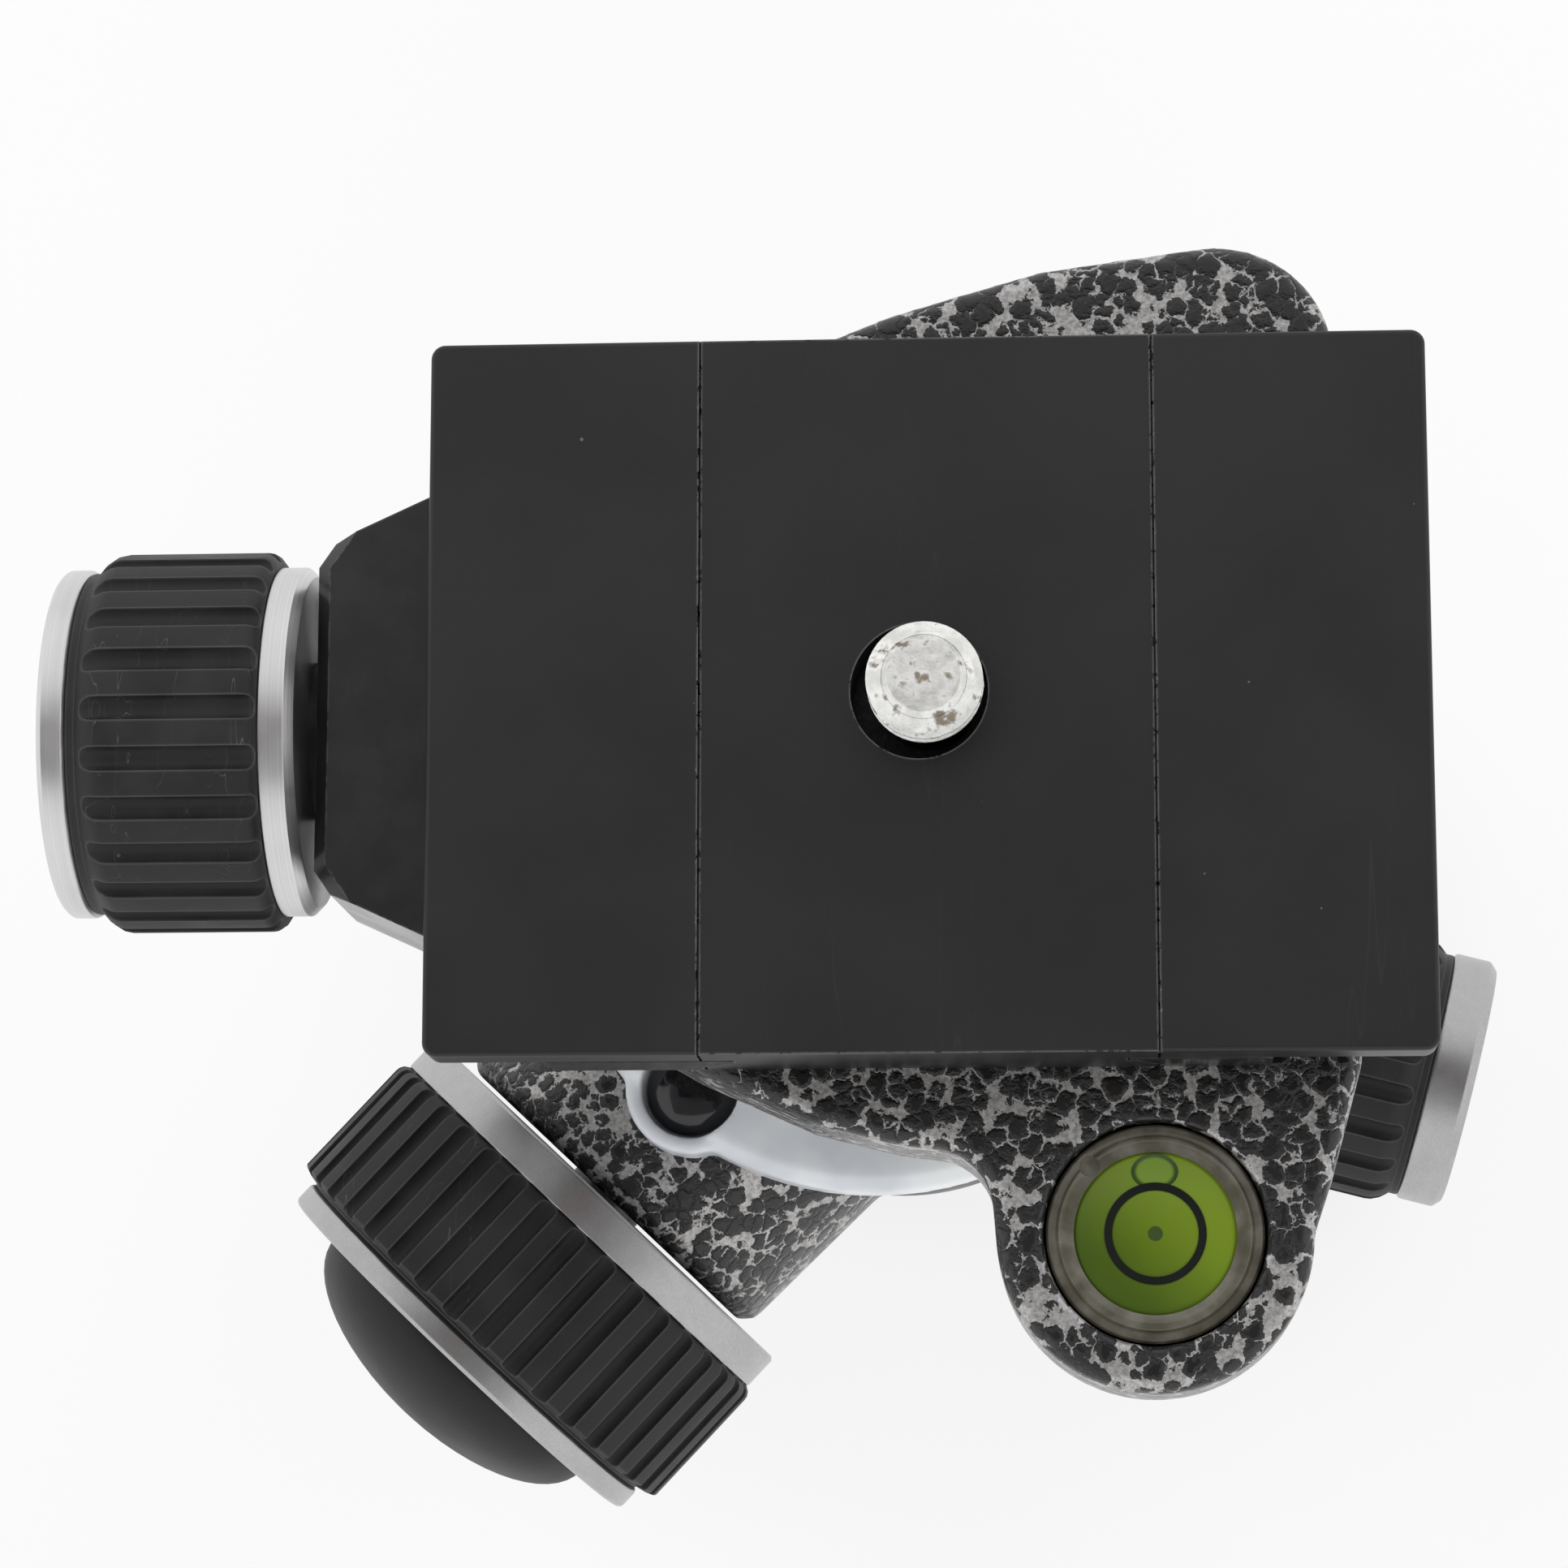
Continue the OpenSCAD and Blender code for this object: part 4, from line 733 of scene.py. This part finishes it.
def smoked_acrylic():
    """Clear acrylic that looks brown and cloudy over the casting, with specks of dust."""
    material = finish("smoked acrylic", (0.2, 0.18, 0.15), 0.0, 0.16, Coat_Weight=0.2, Coat_Roughness=0.1)
    tree = material.node_tree
    cloud = noise(tree, node(tree, "TexCoord").outputs["Object"], 420.0, 4.0)
    marks = placed(tree, marks_group, Scratch_scale=420.0, Scratches=0.6, Dust=0.4)
    base = blend(tree, span(tree, cloud, 0.3, 0.72), (0.075, 0.068, 0.046), (0.15, 0.14, 0.11))
    feed(material, Base_Color=blend(tree, marks["Dust mask"], base, (0.6, 0.58, 0.54)),
         Roughness=span(tree, cloud, 0.3, 0.7, 0.08, 0.3))
    return material


vial = lathe("vial", [
    (6.7, vial_z), (8.75, vial_z), (8.75, vial_top - 2), (9.0, vial_top - 1.6), (9.0, vial_top - 0.9),
    (8.8, vial_top - 0.6), (8.2, vial_top - 0.45), (8.1, vial_top - 0.5), (7.95, vial_top - 0.1),
    (7.6, vial_top), (7.3, vial_top), (7.05, vial_top - 0.12), (6.7, vial_top - 0.18)], 96)
plug = lathe("plug", [(axis_point, vial_top - 0.55), (0.85, vial_top - 0.55), (0.85, vial_top + 1),
                      (axis_point, vial_top + 1)], 32, closed=False)
fit_at(plug, place=(-0.0053, 0.0055, 0))
cut_with(vial, plug)
fit_at(soften(vial, 0.1, 2), place=level_at)
make(vial, smoked_acrylic(), "clamp", "vial_acrylic", "level_vial")


def green_liquid():
    """Green liquid with painted shade, darker towards the front left."""
    material = finish("green liquid", (0.16, 0.33, 0.01), 0.0, 0.3, Specular_IOR_Level=0.3, Coat_Weight=0.2,
                      Coat_Roughness=0.1)
    tree = material.node_tree
    place = node(tree, "TexCoord").outputs["Object"]
    near = node(tree, "VectorMath", {"operation": "SUBTRACT"}, in0=place, in1=level_at).outputs[0]
    apart = node(tree, "SeparateXYZ", None, Vector=near).outputs
    # Painted shade: the liquid is darkened towards the front left, with a little noise.
    slope = calc(tree, "ADD", apart[0], apart[1])
    side_shade = calc(tree, "MULTIPLY_ADD", noise(tree, place, 260.0, 2.0), 0.003, slope)
    feed(material, Base_Color=blend(tree, span(tree, side_shade, -0.007, 0.009), (0.052, 0.096, 0.001),
                                    (0.172, 0.265, 0.007)))
    return material


fluid = lathe("fluid", [(axis_point, vial_z), (6.7, vial_z), (6.7, vial_top - 0.55), (6.4, vial_top - 0.4),
                        (axis_point, vial_top - 0.36)], 96, closed=False)
bpy.ops.object.shade_smooth_by_angle(angle=math.radians(30))
make(fit_at(fluid, place=level_at), green_liquid(), "clamp", "vial_liquid", "level_fluid")

bubble_at = (level_at[0], level_at[1] + 0.0051, 0)
bubble_squash = 0.76


def bubble_tint():
    """The liquid's green seen through the bubble, with painted shade at its rim."""
    material = finish("bubble", (0.16, 0.27, 0.04), 0.0, 0.2, Coat_Weight=0.4, Coat_Roughness=0.08)
    tree = material.node_tree
    place = node(tree, "TexCoord").outputs["Object"]
    near = node(tree, "VectorMath", {"operation": "SUBTRACT"}, in0=place, in1=bubble_at).outputs[0]
    flat = node(tree, "VectorMath", {"operation": "MULTIPLY"}, in0=near,
                in1=(1, 1 / bubble_squash, 0)).outputs[0]
    far = node(tree, "VectorMath", {"operation": "LENGTH"}, in0=flat).outputs["Value"]
    # Painted shade: a dark ring round the bubble's edge.
    feed(material, Base_Color=blend(tree, span(tree, far, 0.00135, 0.00175), (0.16, 0.27, 0.03),
                                    (0.02, 0.06, 0.002)))
    return material


bubble = lathe("bubble", [(axis_point, vial_top - 1.2), (1.95, vial_top - 1.2), (1.95, vial_top - 0.38),
                          (1.75, vial_top - 0.33), (1.3, vial_top - 0.35), (axis_point, vial_top - 0.33)], 64,
               closed=False)
bpy.ops.object.shade_smooth_by_angle(angle=math.radians(40))
bubble.scale.y = bubble_squash
make(fit_at(bubble, place=bubble_at), bubble_tint(), "clamp", "vial_bubble", "level_bubble")

print_black = moulded("printed black", (0.004, 0.006, 0.004), 0.35, dust=0.05, Specular_IOR_Level=0.3)
mark = lathe("level_mark", [(3.55, vial_top - 0.42), (4.2, vial_top - 0.42), (4.2, vial_top - 0.29),
                            (3.55, vial_top - 0.29)], 96)
make(fit_at(mark, place=level_at), print_black, "clamp", "vial_liquid")
dot_green = moulded("dark green dot", (0.03, 0.062, 0.006), 0.35, dust=0.05)
dot = lathe("level_dot", [(axis_point, vial_top - 0.42), (0.6, vial_top - 0.42), (0.6, vial_top - 0.33),
                          (axis_point, vial_top - 0.33)], 32, closed=False)
make(fit_at(dot, place=level_at), dot_green, "clamp", "vial_liquid")

# ---------------------------------------------------------- quick-release plate
# A wide plate of black anodised aluminium, with a dovetail foot milled along its underside. A
# shallow zone down the middle of its top leaves the two sides slightly proud.

seam = 0.01868              # from the plate's middle line to the edge of its shallow zone, in metres


def plate_black():
    """Satin black anodising with painted shade in its seams and a faint painted highlight along its edges,
    hairline scratches, and bare metal where it is chipped.
    """
    material = finish("satin black anodising", (0.013, 0.013, 0.0135), 0.0, 0.45, Specular_IOR_Level=0.4)
    tree = material.node_tree
    place = node(tree, "TexCoord").outputs["Object"]
    grain = noise(tree, place, 2600.0, 4.0, 0.7)
    cloud = noise(tree, place, 55.0, 4.0)
    marks = placed(tree, marks_group, Scratch_scale=190.0, Scratches=0.22, Dust=0.5)
    chips_and_highlight = placed(tree, chips_and_highlight_group, Radius=0.0003, Chip_scale=1300.0, Wear=0.4)
    base = blend(tree, span(tree, cloud, 0.3, 0.72), (0.012, 0.012, 0.0125), (0.0155, 0.0155, 0.016))
    base = blend(tree, calc(tree, "MULTIPLY", marks["Scratch mask"], 0.35), base, (0.1, 0.1, 0.105))
    base = blend(tree, calc(tree, "MULTIPLY", marks["Dust mask"], 0.7), base, (0.3, 0.3, 0.3))
    # A faint painted highlight along the edges.
    base = blend(tree, calc(tree, "MULTIPLY", chips_and_highlight["Edge"], 0.06), base, (0.1, 0.1, 0.105))
    # Painted shade: the seam grooves are made nearly black and lose their specular reflection.
    across = calc(tree, "SUBTRACT", node(tree, "SeparateXYZ", None, Vector=place).outputs[0], plate_x * mm)
    from_seam = calc(tree, "ABSOLUTE", calc(tree, "SUBTRACT", calc(tree, "ABSOLUTE", across), seam))
    seam_shade = span(tree, from_seam, 0.00009, 0.00016, 1.0, 0.0)
    base = blend(tree, seam_shade, base, (0.001, 0.001, 0.001))
    speck = calc(tree, "MULTIPLY", span(tree, from_seam, 0.00015, 0.0003, 1.0, 0.0),
                 span(tree, grain, 0.6, 0.68))
    pale = calc(tree, "MAXIMUM", calc(tree, "MULTIPLY", chips_and_highlight["Mask"], 0.3), calc(
        tree, "MULTIPLY", speck, 0.45))
    base = blend(tree, pale, base, (0.4, 0.4, 0.4))
    feed(material, Base_Color=base, Roughness=span(tree, cloud, 0.3, 0.7, 0.38, 0.48),
         Specular_IOR_Level=calc(tree, "MULTIPLY_ADD", seam_shade, -0.4, 0.4),
         Metallic=calc(tree, "MULTIPLY", pale, 0.6), Normal=bump(tree, grain, 0.000012))
    return material


def corner_points(half_x, half_y, radius, steps=8):
    """The outline of a rounded rectangle about the plate's centre."""
    points = []
    for quarter, (sx, sy) in enumerate(((1, 1), (-1, 1), (-1, -1), (1, -1))):
        for k in range(steps + 1):
            angle = math.pi / 2 * (quarter + k / steps)
            points.append((plate_x + sx * (half_x - radius) + radius * math.cos(angle),
                           plate_y + sy * (half_y - radius) + radius * math.sin(angle)))
    return points


plate_half, plate_side = (plate_high.x - plate_low.x) / 2 / mm, (north - south) / 2
plate = extruded("plate", corner_points(plate_half, plate_side, 1.2), wing_z, plate_top)
chamfer(plate, 0.45, lambda x, y, z: z > plate_top - 0.01, 3)
chamfer(plate, 0.25, lambda x, y, z: z < wing_z + 0.01, 2)
foot = extruded("foot", [(plate_x + x, z) for x, z in (
    (-19, foot_z), (19, foot_z), (19, edge_top), (16.1, slope_top), (16.1, wing_z + 1), (-16.1, wing_z + 1),
    (-16.1, slope_top), (-19, edge_top))], south + 0.02, north - 0.02, "Y")
cut_with(plate, foot, "UNION")
zone = extruded("zone", [(plate_x + x, plate_top + z) for x, z in (
    (-18.75, -0.6), (-18.61, -0.6), (-18.6, -0.2), (18.6, -0.2), (18.61, -0.6), (18.75, -0.6), (18.76, 0.3),
    (-18.76, 0.3))], south - 2, north + 2, "Y")
cut_with(plate, zone)
plate_middle = (plate_x * mm, plate_y * mm, 0)
drill(plate, 5.65, foot_z - 1, plate_top + 1, place=((plate_x - 0.6) * mm, plate_y * mm, 0))
drill(plate, 11.0, foot_z - 1, wing_z - 1.3, place=plate_middle)
drill(plate, 11.7, foot_z + 0.75, foot_z + 1.65, place=plate_middle)
make(soften(plate, 0.05, 2, 40), plate_black(), "plate", "black_plate", "quick_release_plate")

# ----------------------------------------------------------------- camera screw
# The captive 3/8 inch screw that fastens the camera: turned steel, zinc plated, with a wide slotted
# head under the plate and a rolled thread above it, whose end is chamfered.

stud_low, stud_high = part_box("camera_screw")
head_z, stud_top = stud_low.z / mm, stud_high.z / mm
pitch, minor, major = 1.5875, 3.9, 4.7625
tip, turns = 2.96, 4
stud = lathe("stud", [
    (axis_point, head_z), (10.0, head_z), (10.4, head_z + 0.4), (10.4, head_z + 1.8), (10.0, head_z + 2.2),
    (3.96, head_z + 2.2), (3.96, plate_top - 0.2), (minor, plate_top + 0.3), (minor, stud_top - 0.9),
    (tip, stud_top), (axis_point, stud_top)], 96, closed=False)
bpy.ops.object.select_all(action="DESELECT")
bpy.ops.mesh.primitive_circle_add(vertices=4, radius=mm, fill_type="NOTHING")
thread = bpy.context.object
for vertex, (x, z) in zip(thread.data.vertices, ((minor - 0.4, -0.78), (minor - 0.4, 0.78), (major, 0.13),
                                                 (major, -0.13))):
    vertex.co = (x * mm, 0, (plate_top + 0.9 + z) * mm)
shrink(thread, "SCREW", angle=math.tau, screw_offset=pitch * mm, iterations=turns, steps=48, render_steps=48,
       axis="Z", use_normal_calculate=True)
bpy.ops.object.mode_set(mode="EDIT")
bpy.ops.mesh.select_all(action="SELECT")
bpy.ops.mesh.remove_doubles(threshold=0.000002)
bpy.ops.mesh.select_all(action="DESELECT")
bpy.ops.mesh.select_mode(type="EDGE")
bpy.ops.mesh.select_non_manifold()
bpy.ops.mesh.edge_face_add()
bpy.ops.mesh.select_all(action="SELECT")
bpy.ops.mesh.normals_make_consistent(inside=False)
bpy.ops.object.mode_set(mode="OBJECT")
blank = lathe("blank", [(axis_point, plate_top - 0.1), (major, plate_top - 0.1), (major, stud_top - 1.1),
                        (major - 1.2, stud_top - 0.5), (tip, stud_top), (axis_point, stud_top)], 96,
              closed=False)
cut_with(thread, blank, "INTERSECT")
cut_with(stud, thread, "UNION")
slot_bar = extruded("slot", [(-12, head_z - 1), (12, head_z - 1), (12, head_z + 1.2), (-12, head_z + 1.2)],
                    -0.9, 0.9, "Y")
cut_with(fit_at(stud, place=plate_middle), fit_at(slot_bar, place=plate_middle))
shade(stud, 32)


def worn_zinc():
    """Bright zinc with brown-grey dirt in patches, and painted shade, nearly black, where it stands under the
    plate.
    """
    material = finish("worn zinc", (0.8, 0.8, 0.78), 0.6, 0.26)
    tree = material.node_tree
    place = node(tree, "TexCoord").outputs["Object"]
    dirt = noise(tree, place, 430.0, 6.0, 0.62)
    fine = noise(tree, place, 1900.0, 4.0)
    marks = placed(tree, marks_group, Scratch_scale=520.0, Scratches=0.8, Dust=0.3)
    patch = span(tree, calc(tree, "MULTIPLY_ADD", fine, 0.25, dirt), 0.66, 0.78)
    base = blend(tree, span(tree, dirt, 0.35, 0.6), (0.7, 0.7, 0.67), (0.95, 0.95, 0.93))
    base = blend(tree, patch, base, (0.25, 0.21, 0.16))
    base = blend(tree, calc(tree, "MULTIPLY", marks["Scratch mask"], 0.6), base, (0.75, 0.75, 0.74))
    # Painted shade: the head's top and the shank are made nearly black up to the plate's top face, where they
    # stand under the plate.
    height = node(tree, "SeparateXYZ", None, Vector=place).outputs[2]
    shade_under_plate = calc(tree, "MULTIPLY", span(tree, height, (head_z + 1.9) * mm, (head_z + 2.1) * mm),
                        span(tree, height, (plate_top - 1.2) * mm, (plate_top + 0.1) * mm, 1.0, 0.0))
    base = blend(tree, shade_under_plate, base, (0.012, 0.012, 0.012))
    feed(material, Base_Color=base, Metallic=calc(tree, "MULTIPLY_ADD", patch, -0.4, 0.6),
         Roughness=span(tree, dirt, 0.35, 0.75, 0.25, 0.5), Normal=bump(tree, dirt, 0.00012))
    return material


make(stud, worn_zinc(), "camera_screw", "zinc", "camera_screw")

# ----------------------------------------------------------------------- studio
# The head stands on a plain pale floor, under three broad soft lamps and a pale sky. A dark card
# overhead, paler towards the back, gives the turned rings their dark middle and the plate its sheen.


def rays_seen(tree):
    """One for rays from the camera, and for those that metal and glass send on."""
    ray = node(tree, "LightPath").outputs
    return calc(tree, "MAXIMUM", ray["Is Camera Ray"],
                     calc(tree, "MAXIMUM", ray["Is Glossy Ray"], ray["Is Transmission Ray"]))


floor_paint = finish("pale floor", (0.93, 0.93, 0.93), 0.0, 0.8)
floor_tree = floor_paint.node_tree
white = node(floor_tree, "Emission", None, Color=(1, 1, 1, 1), Strength=1.0)
mixed = node(floor_tree, "MixShader", None, in0=calc(floor_tree, "MULTIPLY", rays_seen(floor_tree), 0.8))
floor_tree.links.new(floor_tree.nodes["Principled BSDF"].outputs[0], mixed.inputs[1])
floor_tree.links.new(white.outputs[0], mixed.inputs[2])
floor_tree.links.new(mixed.outputs[0], floor_tree.nodes["Material Output"].inputs["Surface"])
bpy.ops.object.select_all(action="DESELECT")
bpy.ops.mesh.primitive_plane_add(size=6, location=(0, 0, 0))
floor = bpy.context.object
floor.name = "floor"
floor.data.materials.append(floor_paint)

card_paint = bpy.data.materials.new("dark card")
card_paint.use_nodes = True
card_tree = card_paint.node_tree
card_place = node(card_tree, "TexCoord").outputs["Object"]
card_far = node(card_tree, "VectorMath", {"operation": "LENGTH"}, in0=card_place).outputs["Value"]
card_back = node(card_tree, "SeparateXYZ", None, Vector=card_place).outputs[1]
card_shade = blend(card_tree, span(card_tree, card_far, 0.03, 0.24), (0.2, 0.16, 0.13), (0.3, 0.3, 0.31))
card_glow = node(card_tree, "Emission", None, Strength=1.0,
                 Color=blend(card_tree, span(card_tree, card_back, 0.02, 0.34), card_shade,
                             (0.95, 0.95, 0.97)))
card_tree.links.new(card_glow.outputs[0], card_tree.nodes["Material Output"].inputs["Surface"])
bpy.ops.object.select_all(action="DESELECT")
bpy.ops.mesh.primitive_plane_add(size=0.95, location=(0.02, 0, 0.7))
card = bpy.context.object
card.name = "card"
card.data.materials.append(card_paint)
card.visible_camera = card.visible_diffuse = card.visible_shadow = False


def lamp(name, place, size, power):
    """A broad soft lamp that faces the head."""
    bpy.ops.object.light_add(type="AREA", location=place)
    light = bpy.context.object
    light.name = name
    light.data.size = size
    light.data.energy = power
    light.visible_glossy = False
    turn = (-light.location).to_track_quat("-Z", "Y")
    light.rotation_euler = turn.to_euler()


lamp("left_lamp", (-0.7, 0.35, 0.85), 0.7, 3.6)
lamp("right_lamp", (0.75, 0.5, 0.7), 0.6, 3.0)
lamp("front_lamp", (0.15, -0.95, 0.6), 0.6, 2.2)

world = bpy.data.worlds.new("studio")
bpy.context.scene.world = world
world.use_nodes = True
sky_tree = world.node_tree
sky = sky_tree.nodes["Background"]
sky.inputs["Color"].default_value = (1, 1, 1, 1)
sky_tree.links.new(span(sky_tree, rays_seen(sky_tree), 0.0, 1.0, 0.6, 1.0), sky.inputs["Strength"])

bpy.ops.object.camera_add(location=(0.02049, -0.07275, 0.51258),
                          rotation=tuple(math.radians(a) for a in (10.253, 3.711, 0.049)))
camera = bpy.context.object
camera.data.lens = 111.8
camera.data.sensor_width = 36
bpy.context.scene.camera = camera
bpy.context.scene.view_settings.view_transform = "Standard"
